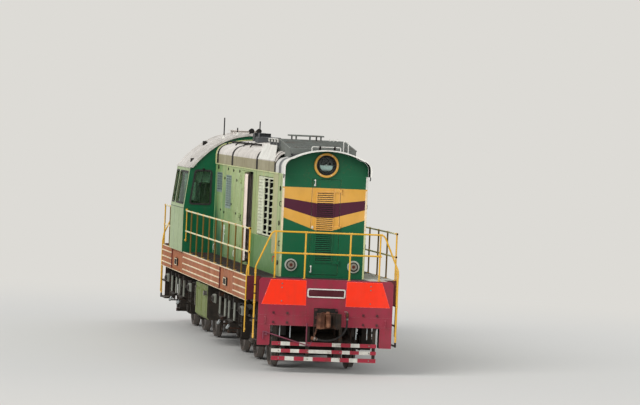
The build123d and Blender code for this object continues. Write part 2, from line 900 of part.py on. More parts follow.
# Radiator hood: side plates round the shutters, the nose wall, the round front roof and the fan's bridge
shutter_run = (shutter_rear - shutter_frame, shutter_front + shutter_frame)
shutter_rise = (shutter_bottom - shutter_frame, shutter_top + shutter_frame)
radiator_plates = []
for side in both_sides(hood_half - hood_wall, hood_half):
    for run, rise in split_panel((hood_split, nose_x), (deck_top, eave_z), [shutter_run + shutter_rise]):
        radiator_plates.append(plate(run, side, rise))
nose_opening = (nose_door_low, nose_door_high, leaf_bottom, nose_door_top)
for run, rise in split_panel(between_sides, (deck_top, eave_z), [nose_opening]):
    radiator_plates.append(plate((nose_x - hood_wall, nose_x), run, rise))
knee_z = eave_z + 0.5 * (nose_shoulder_z - eave_z)
with BuildPart() as nose_roof:
    with BuildSketch(across(cover_end)):
        hood_section(nose_shoulder_z, nose_crown)
        hood_section(nose_shoulder_z, nose_crown, cover_sheet)
    extrude(amount=nose_x - cover_end - hood_wall)
    with BuildSketch(across(cover_end)):
        hood_section(nose_shoulder_z, nose_crown, cover_sheet)
    extrude(amount=nose_x - cover_end - hood_wall, mode=Mode.SUBTRACT)
    split(bisect_by=Plane.XY.offset(knee_z), keep=Keep.BOTH)
with BuildPart() as nose_cap:
    with BuildSketch(across(nose_x - hood_wall)):
        hood_section(nose_shoulder_z, nose_crown)
    extrude(amount=hood_wall)
with BuildPart() as fan_bridge:
    block((fan_x - bridge_half, fan_x + bridge_half), between_sides, (bridge_bottom, bridge_top))
    bar((fan_x, 0, bridge_top), (fan_x, 0, bearing_top), bearing_radius)
    bore = shaft_radius + pin_play
    bar((fan_x, 0, bridge_bottom - 1), (fan_x, 0, bearing_top + 1), bore, mode=Mode.SUBTRACT)
nose_axis_x = nose_x + hinge_offset
nose_axis_y = nose_door_high + 4
with BuildPart() as nose_lugs:
    for z in hinge_levels:
        hinge_lugs(z, (nose_x, nose_axis_x + pin_radius), (nose_axis_y, nose_axis_y + lug_length))
with BuildPart() as nose_pins:
    for z in hinge_levels:
        hinge_pin(nose_axis_x, nose_axis_y, z)
gather(
    "radiator_hood",
    *radiator_plates,
    nose_roof.part,
    nose_cap.part,
    fan_bridge.part,
    nose_lugs.part,
    nose_pins.part,
)

# Nose door, hinged on the left
with BuildPart() as nose_door:
    width = (nose_door_low + door_gap, nose_door_high - door_gap)
    block((nose_x - door_sheet, nose_x), width, (leaf_bottom + door_gap, nose_door_top - door_gap))
    arm = ((nose_x + arm_gap, nose_axis_x), (nose_door_high - 40, nose_axis_y))
    strap = ((nose_x, nose_axis_x), (nose_door_high - 120, nose_door_high - door_gap))
    for z in hinge_levels:
        hinge_knuckle(nose_axis_x, nose_axis_y, z, arm, strap)
finish(nose_door.part, "nose_door")

# Radiator shutters: three columns of slanted slats on each side
with BuildPart() as radiator_shutters:
    column = (shutter_front - shutter_rear - 2 * mullion) / 3
    for side in (-1, 1):
        depth = sorted((side * (hood_half - hood_wall), side * hood_half))
        slatted_panel(shutter_run, shutter_rise, side, shutter_frame, shutter_rows)
        for index in (1, 2):
            right = shutter_rear + index * (column + mullion)
            block((right - mullion, right), depth, (shutter_bottom, shutter_top))
finish(radiator_shutters.part, "radiator_shutters")

# Roof covers in three lengths, with a round opening under the fan housing
cover_joints = (cab_front, cab_front + 2835, hood_split + 30, cover_end)
cover_knee = eave_z + 0.5 * (cover_shoulder_z - eave_z)
with BuildPart() as hood_roof_covers:
    for rear, front in zip(cover_joints[:-1], cover_joints[1:]):
        with BuildSketch(across(rear + cover_seam / 2)):
            hood_section(cover_shoulder_z, cover_crown)
        extrude(amount=front - rear - cover_seam)
    with BuildSketch(across(cab_front)):
        hood_section(cover_shoulder_z, cover_crown, cover_sheet)
    extrude(amount=cover_end - cab_front, mode=Mode.SUBTRACT)
    bar((fan_x, 0, eave_z), (fan_x, 0, box_top), fan_radius + fan_gap, mode=Mode.SUBTRACT)
    split(bisect_by=Plane.XY.offset(cover_knee), keep=Keep.BOTH)
finish(hood_roof_covers.part, "hood_roof_covers")


# Fan housing: walls that stand on the roofs, a lid and the grille
def cut_to_roof(start=box_rear - 1):
    """Takes the two roofs' outlines off the piece being built, from a place along the covers."""
    with BuildSketch(across(start)) as cover_outline:
        hood_section(cover_shoulder_z, cover_crown)
    extrude(cover_outline.sketch, amount=cover_end - start, mode=Mode.SUBTRACT)
    with BuildSketch(across(cover_end)) as nose_outline:
        hood_section(nose_shoulder_z, nose_crown)
    extrude(nose_outline.sketch, amount=box_front - cover_end + 1, mode=Mode.SUBTRACT)


lid_bottom = box_top - box_sheet
with BuildPart() as fan_box_sides:
    for side in both_sides(box_half - box_sheet, box_half):
        block((box_rear, box_front), side, (box_foot, lid_bottom))
    cut_to_roof()
with BuildPart() as fan_box_ends:
    for run in ((box_rear, box_rear + box_sheet), (box_front - box_sheet, box_front)):
        block(run, (box_sheet - box_half, box_half - box_sheet), (box_foot, lid_bottom))
    cut_to_roof()
grille_run = (fan_x - fan_radius, fan_x + fan_radius)
fan_lid = []
for run, width in (
    ((box_rear, grille_run[0]), (-box_half, box_half)),
    ((grille_run[1], box_front), (-box_half, box_half)),
    (grille_run, (fan_radius, box_half)),
    (grille_run, (-box_half, -fan_radius)),
):
    fan_lid.append(plate(run, width, (lid_bottom, box_top)))
with BuildPart() as fan_grille:
    slat_pitch = 2 * fan_radius / (grille_slats + 1)
    for index in range(1, grille_slats + 1):
        y = -fan_radius + index * slat_pitch
        block(grille_run, (y - grille_bar / 2, y + grille_bar / 2), (lid_bottom, box_top))
gather("fan_housing", fan_box_sides.part, fan_box_ends.part, *fan_lid, fan_grille.part)

# Two exhaust ducts that turn forward, and the air filter box, on the covers next to the cab
exhaust_places = (cab_front + 620, cab_front + 1420)
exhaust_half = 130
exhaust_depth = 200
exhaust_rise = 190
exhaust_mouth = 90
duct_sheet = 6
filter_run = (cab_front + 1950, cab_front + 2450)
filter_half = 260
filter_rise = 110
with BuildPart() as exhaust_ducts:
    for x in exhaust_places:
        bent = (
            (x, cover_crown - 40),
            (x, cover_crown + exhaust_rise - 60),
            (x + 60, cover_crown + exhaust_rise),
            (x + exhaust_depth + exhaust_mouth, cover_crown + exhaust_rise),
            (x + exhaust_depth + exhaust_mouth, cover_crown + exhaust_rise - 120),
            (x + exhaust_depth, cover_crown + exhaust_rise - 120),
            (x + exhaust_depth, cover_crown - 40),
        )
        sheet(along(exhaust_half), bent, 2 * exhaust_half)
        mouth = (x + exhaust_depth, x + exhaust_depth + exhaust_mouth)
        rise = (cover_crown + exhaust_rise - 120 + duct_sheet, cover_crown + exhaust_rise - duct_sheet)
        width = (duct_sheet - exhaust_half, exhaust_half - duct_sheet)
        block(mouth, width, rise, mode=Mode.SUBTRACT)
    cut_to_roof(cab_front + 1)
with BuildPart() as filter_box:
    block(filter_run, (-filter_half, filter_half), (cover_crown - 40, cover_crown + filter_rise))
    fillet(filter_box.edges().group_by(Axis.Z)[-1], 25)
    cut_to_roof(cab_front + 1)
gather("roof_vents", exhaust_ducts.part, filter_box.part)

# Cooling fan
with BuildPart() as cooling_fan:
    bar((fan_x, 0, fan_z), (fan_x, 0, fan_z + fan_blade_height), fan_hub)
    root = fan_hub - 30
    for index in range(blade_count):
        angle = 2 * pi * index / blade_count
        root_plane = Plane(
            origin=(fan_x + root * cos(angle), root * sin(angle), fan_z + fan_blade_height / 2),
            x_dir=(-sin(angle), cos(angle), 0),
            z_dir=(cos(angle), sin(angle), 0),
        )
        with BuildSketch(root_plane):
            Rectangle(blade_chord, blade_sheet, rotation=blade_angle)
        extrude(amount=fan_radius - root)
    bar((fan_x, 0, bridge_bottom), (fan_x, 0, fan_z), shaft_radius)
finish(cooling_fan.part, "cooling_fan")


# Cab windows
wall_inner = cab_half - cab_wall
eave_inner = eave_half - cab_wall - 10


def rounded_opening(middle, low_z, width, height, play=0.0):
    """Rounded window outline, less a play all round."""
    with Locations((middle, low_z + height / 2)):
        RectangleRounded(width - play, height - play, window_corner)


def end_window(side, play=0.0):
    """Outline of the window beside a hood, its outer edge slanted like the cab's side."""
    lean = (wall_inner - eave_inner) / (cab_eave - kink_z)
    inner = end_window_inner + play / 2
    low = end_window_low + play / 2
    high = end_window_high - play / 2
    low_outer = wall_inner - lean * (low - kink_z) - end_window_margin - play / 2
    high_outer = wall_inner - lean * (high - kink_z) - end_window_margin - play / 2
    outline = ((side * inner, low), (side * low_outer, low), (side * high_outer, high), (side * inner, high))
    with BuildLine() as edge:
        FilletPolyline(*outline, radius=window_corner, close=True)
    make_face(edge.edges())


def rear_windows(play=0.0):
    """Outlines of the two low windows above the rear hood."""
    for y in (-rear_window_y, rear_window_y):
        rounded_opening(y, rear_window_low, rear_window_width, rear_window_high - rear_window_low, play)


# Cab walls and floor, as panels that meet at the corners
room_rear = cab_rear + cab_wall
room_front = cab_front - cab_wall
with BuildPart() as cab_floor_plate:
    block((room_rear, room_front), (-wall_inner, wall_inner), (deck_top, floor_top))
with BuildPart() as cab_side_walls:
    for side in (-1, 1):
        outline = (
            (side * wall_inner, deck_top),
            (side * cab_half, deck_top),
            (side * cab_half, kink_z),
            (side * eave_half, cab_eave),
            (side * eave_inner, cab_eave),
            (side * wall_inner, kink_z),
        )
        sheet(across(cab_rear), outline, cab_length)
    with BuildSketch(along(cab_half + 10)):
        for rear, front in side_windows:
            rounded_opening((rear + front) / 2, window_low, front - rear, window_high - window_low)
    extrude(amount=2 * cab_half + 20, mode=Mode.SUBTRACT)
    split(bisect_by=Plane.XY.offset(kink_z), keep=Keep.BOTH)
room = (
    (-wall_inner, deck_top),
    (wall_inner, deck_top),
    (wall_inner, kink_z),
    (eave_inner, cab_eave),
    (-eave_inner, cab_eave),
    (-wall_inner, kink_z),
)
cab_ends = []
for x, side in ((cab_front, 1), (cab_rear, -1)):
    depth = sorted((x - side * cab_wall, x))
    with BuildPart() as end_wall:
        sheet(across(depth[0]), room, cab_wall)
        doorway = sorted((side * cab_door_inner, side * cab_door_outer))
        block(depth, doorway, (floor_top, cab_door_top), mode=Mode.SUBTRACT)
        with BuildSketch(across(depth[0])):
            end_window(-side)
            if side < 0:
                rear_windows()
        extrude(amount=cab_wall, mode=Mode.SUBTRACT)
    with BuildPart() as gable:
        with BuildSketch(across(depth[0])):
            cab_arch(roof_sheet)
        extrude(amount=cab_wall)
    cab_ends += [end_wall.part, gable.part]
with BuildPart() as cab_lugs:
    for x, side in ((cab_front, 1), (cab_rear, -1)):
        for z in cab_hinge_levels:
            lug_x = sorted((x, x + side * (hinge_offset + pin_radius)))
            lug_y = sorted((side * (cab_door_inner - lug_length), side * cab_door_inner))
            hinge_lugs(z, lug_x, lug_y)
with BuildPart() as cab_pins:
    for x, side in ((cab_front, 1), (cab_rear, -1)):
        for z in cab_hinge_levels:
            hinge_pin(x + side * hinge_offset, side * cab_door_inner, z)
gather("cab_shell", cab_floor_plate.part, cab_side_walls.part, *cab_ends, cab_lugs.part, cab_pins.part)

# Cab roof: a crown sheet and two flank sheets
with BuildPart() as cab_roof:
    with BuildSketch(across(cab_rear - roof_overhang)):
        cab_arch()
    extrude(amount=cab_length + 2 * roof_overhang)
    with BuildSketch(across(cab_rear - roof_overhang)):
        cab_arch(roof_sheet)
    extrude(amount=cab_length + 2 * roof_overhang, mode=Mode.SUBTRACT)
    split(bisect_by=Plane.XZ.offset(arch_shoulder[0]), keep=Keep.BOTH)
    split(bisect_by=Plane.XZ.offset(-arch_shoulder[0]), keep=Keep.BOTH)
finish(cab_roof.part, "cab_roof")

# Cab doors, diagonally opposite, each with its own window
for x, side, name in ((cab_front, 1, "front_cab_door"), (cab_rear, -1, "rear_cab_door")):
    with BuildPart() as cab_door:
        depth = sorted((x - side * door_sheet, x))
        span = sorted((side * (cab_door_inner + door_gap), side * (cab_door_outer - door_gap)))
        block(depth, span, (floor_top + door_gap, cab_door_top - door_gap))
        with BuildSketch(across(depth[0] - 5)):
            width = cab_door_outer - cab_door_inner - 2 * door_window_margin
            middle = side * (cab_door_inner + cab_door_outer) / 2
            rounded_opening(middle, door_window_z - door_window_height / 2, width, door_window_height)
        extrude(amount=door_sheet + 10, mode=Mode.SUBTRACT)
        arm_x = sorted((x + side * arm_gap, x + side * hinge_offset))
        arm_y = sorted((side * cab_door_inner, side * (cab_door_inner + 40)))
        strap_x = sorted((x, x + side * hinge_offset))
        strap_y = sorted((side * (cab_door_inner + door_gap), side * (cab_door_inner + 90)))
        for z in cab_hinge_levels:
            axis_x = x + side * hinge_offset
            hinge_knuckle(axis_x, side * cab_door_inner, z, (arm_x, arm_y), (strap_x, strap_y))
    finish(cab_door.part, name)

# Cab glass, set in the middle of each wall
with BuildPart() as cab_glass:
    lean = (cab_half - eave_half) / (cab_eave - kink_z)
    middle = cab_wall / 2
    for side in (-1, 1):
        low_y = side * (cab_half - middle - lean * (window_low - kink_z))
        high_y = side * (cab_half - middle - lean * (window_high - kink_z))
        pane = (
            (low_y, window_low),
            (low_y + side * glass_sheet, window_low),
            (high_y + side * glass_sheet, window_high),
            (high_y, window_high),
        )
        sheet(across(cab_rear), pane, cab_length)
    with BuildSketch(along(cab_half + 10)):
        for rear, front in side_windows:
            tall = window_high - window_low
            rounded_opening((rear + front) / 2, window_low, front - rear, tall, glass_play)
    extrude(amount=2 * cab_half + 20, mode=Mode.INTERSECT)
    with BuildSketch(across(cab_front - middle)):
        end_window(-1, glass_play)
    extrude(amount=glass_sheet)
    with BuildSketch(across(cab_rear + middle)):
        end_window(1, glass_play)
        rear_windows(glass_play)
    extrude(amount=glass_sheet)
finish(cab_glass.part, "cab_glass")

# Control desk: a closed base and a sloping top
desk_front = room_front - 10
desk_right = -1000
desk_left = -100
with BuildPart() as desk_base:
    block((desk_front - 320, desk_front), (desk_right, desk_left), (floor_top, 2640))
with BuildPart() as desk_top:
    slope = (
        (desk_front, 2640),
        (desk_front, 2900),
        (desk_front - 180, 2900),
        (desk_front - 520, 2760),
        (desk_front - 520, 2700),
        (desk_front - 320, 2640),
    )
    sheet(along(desk_left), slope, desk_left - desk_right)
gather("control_desk", desk_base.part, desk_top.part)

# Driver's seats: a post, a cushion and a back rest each
seat_places = ((cab_front - 1080, -600), (cab_front - 1080, 700))
seat_post_radius = 55
cushion_low = 2380
cushion_high = 2460
cushion_half = 220
rest_top = 2960
rest_sheet = 60
with BuildPart() as seat_posts:
    for x, y in seat_places:
        bar((x, y, floor_top), (x, y, cushion_low), seat_post_radius)
with BuildPart() as seat_cushions:
    for x, y in seat_places:
        width = (y - cushion_half, y + cushion_half)
        block((x - cushion_half, x + cushion_half), width, (cushion_low, cushion_high))
    fillet(seat_cushions.edges().filter_by(Axis.Z), 50)
with BuildPart() as seat_rests:
    for x, y in seat_places:
        depth = (x - cushion_half + 50, x - cushion_half + 50 + rest_sheet)
        block(depth, (y - cushion_half + 20, y + cushion_half - 20), (cushion_high, rest_top))
    fillet(seat_rests.edges().filter_by(Axis.X), 50)
gather("driver_seats", seat_posts.part, seat_cushions.part, seat_rests.part)

# Rear hood
with BuildPart() as rear_hood:
    with BuildSketch(across(rear_hood_end)):
        shoulder_z = rear_hood_crown - rear_shoulder_drop
        hood_section(shoulder_z, rear_hood_crown, eave=deck_top, turn_inset=shoulder_inset + 7)
    extrude(amount=cab_rear - rear_hood_end)
finish(rear_hood.part, "rear_hood")

# Engine and generator as one plain mass
engine_rear = cab_front + 870
engine_length = 4600
engine_half = 480
engine_top = 3350
with BuildPart() as engine_block:
    block((engine_rear, engine_rear + engine_length), (-engine_half, engine_half), (deck_top, engine_top))
finish(engine_block.part, "engine_block")

# Headlights: dished reflectors in proud rings
lamp_depth = 60
lamp_places = ((1, nose_x, 4158, 250), (-1, rear_hood_end, 2980, 220))
with BuildPart() as headlights:
    for end, x, z, radius in lamp_places:
        profile = (
            (0, 0),
            (0, radius),
            (lamp_depth - 10, radius),
            (lamp_depth, radius - 10),
            (lamp_depth, radius - 40),
            (lamp_depth - 14, radius - 50),
            (20, 0.45 * radius),
            (12, 0),
        )
        with BuildSketch(Plane(origin=(x, 0, z), x_dir=(end, 0, 0), z_dir=(0, -end, 0))):
            with BuildLine():
                Polyline(*profile, close=True)
            make_face()
        revolve(axis=Axis((x, 0, z), (end, 0, 0)))
finish(headlights.part, "headlights")

# Marker lamps: round cases and domed lenses
marker_y = 640
marker_z = 2128
case_radius = 120
case_depth = 35
lens_radius = 75
lens_depth = 20
with BuildPart() as lamp_cases:
    for end in (-1, 1):
        for y in (-marker_y, marker_y):
            x = end * nose_x
            bar((x, y, marker_z), (x + end * case_depth, y, marker_z), case_radius)
with BuildPart() as lamp_lenses:
    for end in (-1, 1):
        for y in (-marker_y, marker_y):
            x = end * (nose_x + case_depth)
            bar((x, y, marker_z), (x + end * lens_depth, y, marker_z), lens_radius)
    outer_rims = lamp_lenses.edges().group_by(Axis.X)
    fillet(outer_rims[0].filter_by(GeomType.CIRCLE), 0.6 * lens_depth)
    outer_rims = lamp_lenses.edges().group_by(Axis.X)
    fillet(outer_rims[-1].filter_by(GeomType.CIRCLE), 0.6 * lens_depth)
gather("marker_lamps", lamp_cases.part, lamp_lenses.part)

# Roof aerials and horns, standing on the roof
shoulder_y, shoulder_top = arch_shoulder
crown_radius = (shoulder_y**2 + (cab_crown - shoulder_top) ** 2) / (2 * (cab_crown - shoulder_top))


def roof_height(y):
    """Height of the cab roof's round top at Y."""
    return cab_crown - crown_radius + sqrt(crown_radius**2 - y**2)


aerials = ((cab_front - 730, -615, 4998), (cab_front - 530, -330, 4778), (cab_front - 730, 220, 4948))
aerial_radius = 14
horn_z = 4720
horn_rear = cab_front - 390
horn_driver = 110
horn_length = 310
horn_radius = 30
bell_radius = 60
stand_radius = 20
horn_places = (-60, 110)
with BuildPart() as roof_stands:
    for x, y, tip in aerials:
        bar((x, y, roof_height(abs(y) - aerial_radius) + seat_gap), (x, y, tip), aerial_radius)
    for y in horn_places:
        x = horn_rear + horn_driver / 2
        foot = roof_height(max(0, abs(y) - stand_radius)) + seat_gap
        bar((x, y, foot), (x, y, horn_z - horn_radius), stand_radius)
with BuildPart() as horns:
    for y in horn_places:
        with BuildSketch(along(y)):
            with BuildLine():
                Polyline(
                    (horn_rear, horn_z),
                    (horn_rear, horn_z + horn_radius),
                    (horn_rear + horn_driver, horn_z + horn_radius),
                    (horn_rear + horn_length, horn_z + bell_radius),
                    (horn_rear + horn_length, horn_z),
                    close=True,
                )
            make_face()
        revolve(axis=Axis((horn_rear, y, horn_z), (1, 0, 0)))
gather("roof_fittings", roof_stands.part, horns.part)

# Fuel tank hung between the bogies
with BuildPart() as tank_shell:
    block((tank_rear, tank_front), (-tank_half, tank_half), (tank_bottom, tank_top))
    chamfer(tank_shell.edges().filter_by(Axis.X).group_by(Axis.Z)[0], tank_chamfer)
with BuildPart() as tank_hangers:
    for x in (tank_rear + hanger_inset, tank_front - hanger_inset):
        for side in both_sides(centre_sill_y, centre_sill_y + centre_sill_width):
            block((x - hanger_half, x + hanger_half), side, (tank_top, centre_sill_bottom))
gather("fuel_tank", tank_shell.part, tank_hangers.part)

# Air reservoirs across the frame, one at each end of the tank
with BuildPart() as reservoir_shells:
    for x in (reservoir_rear, reservoir_front):
        bar((x, -reservoir_half, reservoir_z), (x, reservoir_half, reservoir_z), reservoir_radius)
    fillet(reservoir_shells.edges().filter_by(GeomType.CIRCLE), reservoir_dome)
with BuildPart() as reservoir_hangers:
    for x in (reservoir_rear, reservoir_front):
        for side in both_sides(centre_sill_y + 40, centre_sill_y + 160):
            rise = (reservoir_z + reservoir_radius, centre_sill_bottom)
            block((x - 40, x + 40), side, rise)
gather("air_reservoirs", reservoir_shells.part, reservoir_hangers.part)

# Bogies
shoulder_run = axle_step - 400
for bogie, centre in (("front", pivot_x), ("rear", -pivot_x)):
    axles = (centre - axle_step, centre, centre + axle_step)

    # Welded frame: arched side beams, horn guides, cross members and the carrier round the pivot
    with BuildPart() as side_beams:
        arched = (
            (-headstock_outer, bogie_beam_bottom + 20),
            (-headstock_outer, bogie_end_top),
            (-shoulder_run - 300, bogie_end_top),
            (-shoulder_run, bogie_beam_top),
            (shoulder_run, bogie_beam_top),
            (shoulder_run + 300, bogie_end_top),
            (headstock_outer, bogie_end_top),
            (headstock_outer, bogie_beam_bottom + 20),
            (headstock_outer - 100, bogie_beam_bottom),
            (100 - headstock_outer, bogie_beam_bottom),
        )
        for side in (bogie_beam_outer, -bogie_beam_inner):
            sheet(along(side), [(centre + x, z) for x, z in arched], bogie_beam_outer - bogie_beam_inner)
    with BuildPart() as horn_guides:
        for side in both_sides(bogie_beam_inner, bogie_beam_outer):
            for x in axles:
                for low in (x - guide_inner - guide_thick, x + guide_inner):
                    block((low, low + guide_thick), side, (guide_bottom, bogie_beam_bottom))
    between_beams = (-bogie_beam_inner, bogie_beam_inner)
    with BuildPart() as cross_beams:
        for low in (-headstock_outer, headstock_inner):
            span = (centre + low, centre + low + headstock_outer - headstock_inner)
            block(span, between_beams, (bogie_beam_bottom, bogie_end_top))
        for x in (centre - transom_x, centre + transom_x):
            span = (x - transom_half, x + transom_half)
            block(span, between_beams, (bogie_beam_bottom + transom_lift, bogie_beam_top))
    with BuildPart() as carrier:
        reach = transom_x - transom_half
        block((centre - reach, centre + reach), (-carrier_half, carrier_half), (carrier_bottom, carrier_top))
        bore = pivot_radius + pivot_play
        bar((centre, 0, carrier_bottom - 1), (centre, 0, carrier_top + 1), bore, mode=Mode.SUBTRACT)

    # Body supports: brackets on the beams, rods and the leaf springs that they hang on
    bracket_places = [centre + end * x for end in (-1, 1) for x in bracket_x]
    with BuildPart() as brackets:
        for side in both_sides(bogie_beam_outer - 100, deck_half - 5):
            for x in bracket_places:
                rise = (bogie_beam_top, bogie_beam_top + bracket_height)
                block((x - bracket_half, x + bracket_half), side, rise)
    with BuildPart() as rods:
        for y in (-rod_y, rod_y):
            for x in bracket_places:
                bar((x, y, leaf_spring_top), (x, y, bogie_beam_top), rod_radius)
    with BuildPart() as leaf_springs:
        stack = [(-leaf_spring_half, leaf_spring_top)]
        for index in range(spring_leaves):
            half = leaf_spring_half - index * spring_step
            top = leaf_spring_top - index * spring_leaf
            stack += [(-half, top), (-half, top - spring_leaf)] if index else [(-half, top - spring_leaf)]
        stack += [(-x, z) for x, z in reversed(stack)]
        for y in (rod_y + leaf_spring_width / 2, leaf_spring_width / 2 - rod_y):
            for end in (-1, 1):
                middle = centre + end * leaf_spring_x
                sheet(along(y), [(middle + x, z) for x, z in stack], leaf_spring_width)
    gather(
        f"{bogie}_bogie_frame",
        side_beams.part,
        horn_guides.part,
        cross_beams.part,
        carrier.part,
        brackets.part,
        rods.part,
        leaf_springs.part,
    )

    # Axle boxes between the guides, with end covers and coil springs above
    with BuildPart() as boxes:
        for x in axles:
            for side in both_sides(box_inner, box_outer):
                rise = (axle_z - box_half_height, axle_z + box_half_height)
                block((x - guide_inner, x + guide_inner), side, rise)
        lower_corners = boxes.edges().filter_by(Axis.Y).group_by(Axis.Z)[0]
        fillet(lower_corners, box_round)
        for x in axles:
            for side in (-1, 1):
                mouth = (x, side * (box_inner - 1), axle_z)
                depth = (x, side * (journal_end + journal_room), axle_z)
                bar(mouth, depth, journal_radius + journal_play, mode=Mode.SUBTRACT)
    with BuildPart() as box_covers:
        for x in axles:
            for side in (-1, 1):
                face = side * box_outer
                bar((x, face, axle_z), (x, face + side * cover_depth, axle_z), cover_radius)
    with BuildPart() as coil_springs:
        spring_y = (bogie_beam_inner + bogie_beam_outer) / 2
        for x in axles:
            for y in (-spring_y, spring_y):
                for spring_x in (x - spring_offset, x + spring_offset):
                    low = (spring_x, y, axle_z + box_half_height)
                    bar(low, (spring_x, y, bogie_beam_bottom), spring_radius)
    gather(f"{bogie}_axle_boxes", boxes.part, box_covers.part, coil_springs.part)

    # Nose-hung traction motors
    with BuildPart() as traction_motors:
        for x, lean_x in zip(axles, (1, -1, -1)):
            middle_x = x + lean_x * motor_reach
            motor_z = axle_z + motor_lift
            bar((middle_x, -motor_half, motor_z), (middle_x, motor_half, motor_z), motor_radius)
            nose = sorted((x, middle_x))
            inner_half = motor_half - 60
            block(nose, (-inner_half, inner_half), (axle_z - 150, axle_z + 150))
            bar((x, -inner_half, axle_z), (x, inner_half, axle_z), suspension_radius)
            transom = centre + (transom_x if middle_x > centre else -transom_x)
            away = 1 if middle_x > transom else -1
            lug = sorted((transom + away * 3, transom + away * 230))
            block(lug, (-180, 180), (motor_z, bogie_beam_bottom + transom_lift - seat_gap))
            bore = axle_radius + shaft_gap
            bar((x, -motor_half, axle_z), (x, motor_half, axle_z), bore, mode=Mode.SUBTRACT)
    finish(traction_motors.part, f"{bogie}_traction_motors")

    # Brake shoes on their hangers, and brake cylinders
    hanger_reach = wheel_radius + shoe_gap + shoe_depth + hanger_radius
    with BuildPart() as shoes:
        for x, shoe_side in zip(axles, (-1, 1, 1)):
            for side in both_sides(shoe_inner, shoe_outer):
                with BuildSketch(along(side[1])) as shoe:
                    with Locations((x, axle_z)):
                        Circle(wheel_radius + shoe_gap + shoe_depth)
                        Circle(wheel_radius + shoe_gap, mode=Mode.SUBTRACT)
                    with Locations((x + shoe_side * (wheel_radius + 75), axle_z - 30)):
                        Rectangle(300, 330, mode=Mode.INTERSECT)
                extrude(shoe.sketch, amount=side[1] - side[0])
    with BuildPart() as hangers:
        for x, shoe_side in zip(axles, (-1, 1, 1)):
            hanger_top = arm_z - arm_radius if x == centre else bogie_beam_bottom
            for y in (-(shoe_inner + shoe_outer) / 2, (shoe_inner + shoe_outer) / 2):
                foot = (x + shoe_side * hanger_reach, y, axle_z - 60)
                bar(foot, (foot[0], y, hanger_top), hanger_radius)
    with BuildPart() as hanger_arms:
        arm_x = centre + hanger_reach
        for side in (-1, 1):
            tip = (arm_x, side * (shoe_inner + 15), arm_z)
            bar(tip, (arm_x, side * bogie_beam_inner, arm_z), arm_radius)
    cylinder_places = (centre - cylinder_x, centre + cylinder_x)
    with BuildPart() as cylinders:
        for y in (-cylinder_y, cylinder_y):
            for x in cylinder_places:
                bar((x - cylinder_half, y, cylinder_z), (x + cylinder_half, y, cylinder_z), cylinder_radius)
        chamfer(cylinders.edges().filter_by(GeomType.CIRCLE), 12)
    with BuildPart() as cylinder_brackets:
        for side in both_sides(bogie_beam_outer, cylinder_y - cylinder_radius):
            for x in cylinder_places:
                block((x - 60, x + 60), side, (cylinder_z - 60, bogie_end_top))
    gather(
        f"{bogie}_brake_gear",
        shoes.part,
        hangers.part,
        hanger_arms.part,
        cylinders.part,
        cylinder_brackets.part,
    )

# Wheelsets: an axle and two wheels turned as one piece
axle_places = [end * pivot_x + step * axle_step for end in (1, -1) for step in (1, 0, -1)]
web_outer = wheel_front - 50
web_inner = wheel_back + 48
for number, x in enumerate(axle_places, 1):
    with BuildPart() as wheelset:
        half = (
            (0, 0),
            (journal_end, 0),
            (journal_end, journal_radius),
            (box_inner - 60, journal_radius),
            (wheel_front + 20, hub_radius - 10),
            (web_outer + 5, hub_radius + 10),
            (web_outer, rim_inner - 10),
            (wheel_front, rim_inner + 15),
            (wheel_front, wheel_radius),
            (wheel_back + 34, wheel_radius + 3),
            (wheel_back + 22, axle_z),
            (wheel_back, axle_z - 8),
            (wheel_back, rim_inner + 10),
            (web_inner, rim_inner - 15),
            (web_inner - 3, hub_radius + 15),
            (wheel_back - 20, hub_radius),
            (wheel_back - 20, axle_radius),
            (0, axle_radius),
        )
        with BuildSketch(Plane(origin=(x, 0, axle_z), x_dir=(0, 1, 0), z_dir=(1, 0, 0))):
            with BuildLine():
                Polyline(*half, close=True)
            make_face()
            mirror(about=Plane.YZ)
        revolve(axis=Axis((x, 0, axle_z), (0, 1, 0)))
    finish(wheelset.part, f"wheelset_{number}")
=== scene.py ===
from math import atan2, cos, hypot, pi, radians, sin
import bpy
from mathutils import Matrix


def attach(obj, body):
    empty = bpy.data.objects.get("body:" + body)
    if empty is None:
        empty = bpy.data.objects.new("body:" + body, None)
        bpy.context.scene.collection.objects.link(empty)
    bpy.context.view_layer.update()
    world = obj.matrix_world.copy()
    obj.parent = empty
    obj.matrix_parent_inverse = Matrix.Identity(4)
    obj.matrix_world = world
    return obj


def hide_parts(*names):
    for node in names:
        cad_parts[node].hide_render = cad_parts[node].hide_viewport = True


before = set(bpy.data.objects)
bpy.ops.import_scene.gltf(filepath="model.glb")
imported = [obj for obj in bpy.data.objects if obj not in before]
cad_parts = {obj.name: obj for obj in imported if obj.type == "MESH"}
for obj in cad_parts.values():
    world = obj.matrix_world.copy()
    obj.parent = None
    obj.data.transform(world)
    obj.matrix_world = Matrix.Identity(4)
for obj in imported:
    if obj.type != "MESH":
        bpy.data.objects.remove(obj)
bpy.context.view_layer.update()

from types import SimpleNamespace

import bmesh
import bpy
from bpy.props import FloatProperty, FloatVectorProperty, IntProperty, PointerProperty
from mathutils import Matrix, Vector

bl_info = {
    "name": "Shunting Locomotive",
    "version": (1, 0, 0),
    "blender": (4, 5, 0),
    "location": "3D View > Sidebar > Locomotive",
    "description": "Paints a six-axle shunting locomotive and adds its fittings",
    "category": "Object",
}

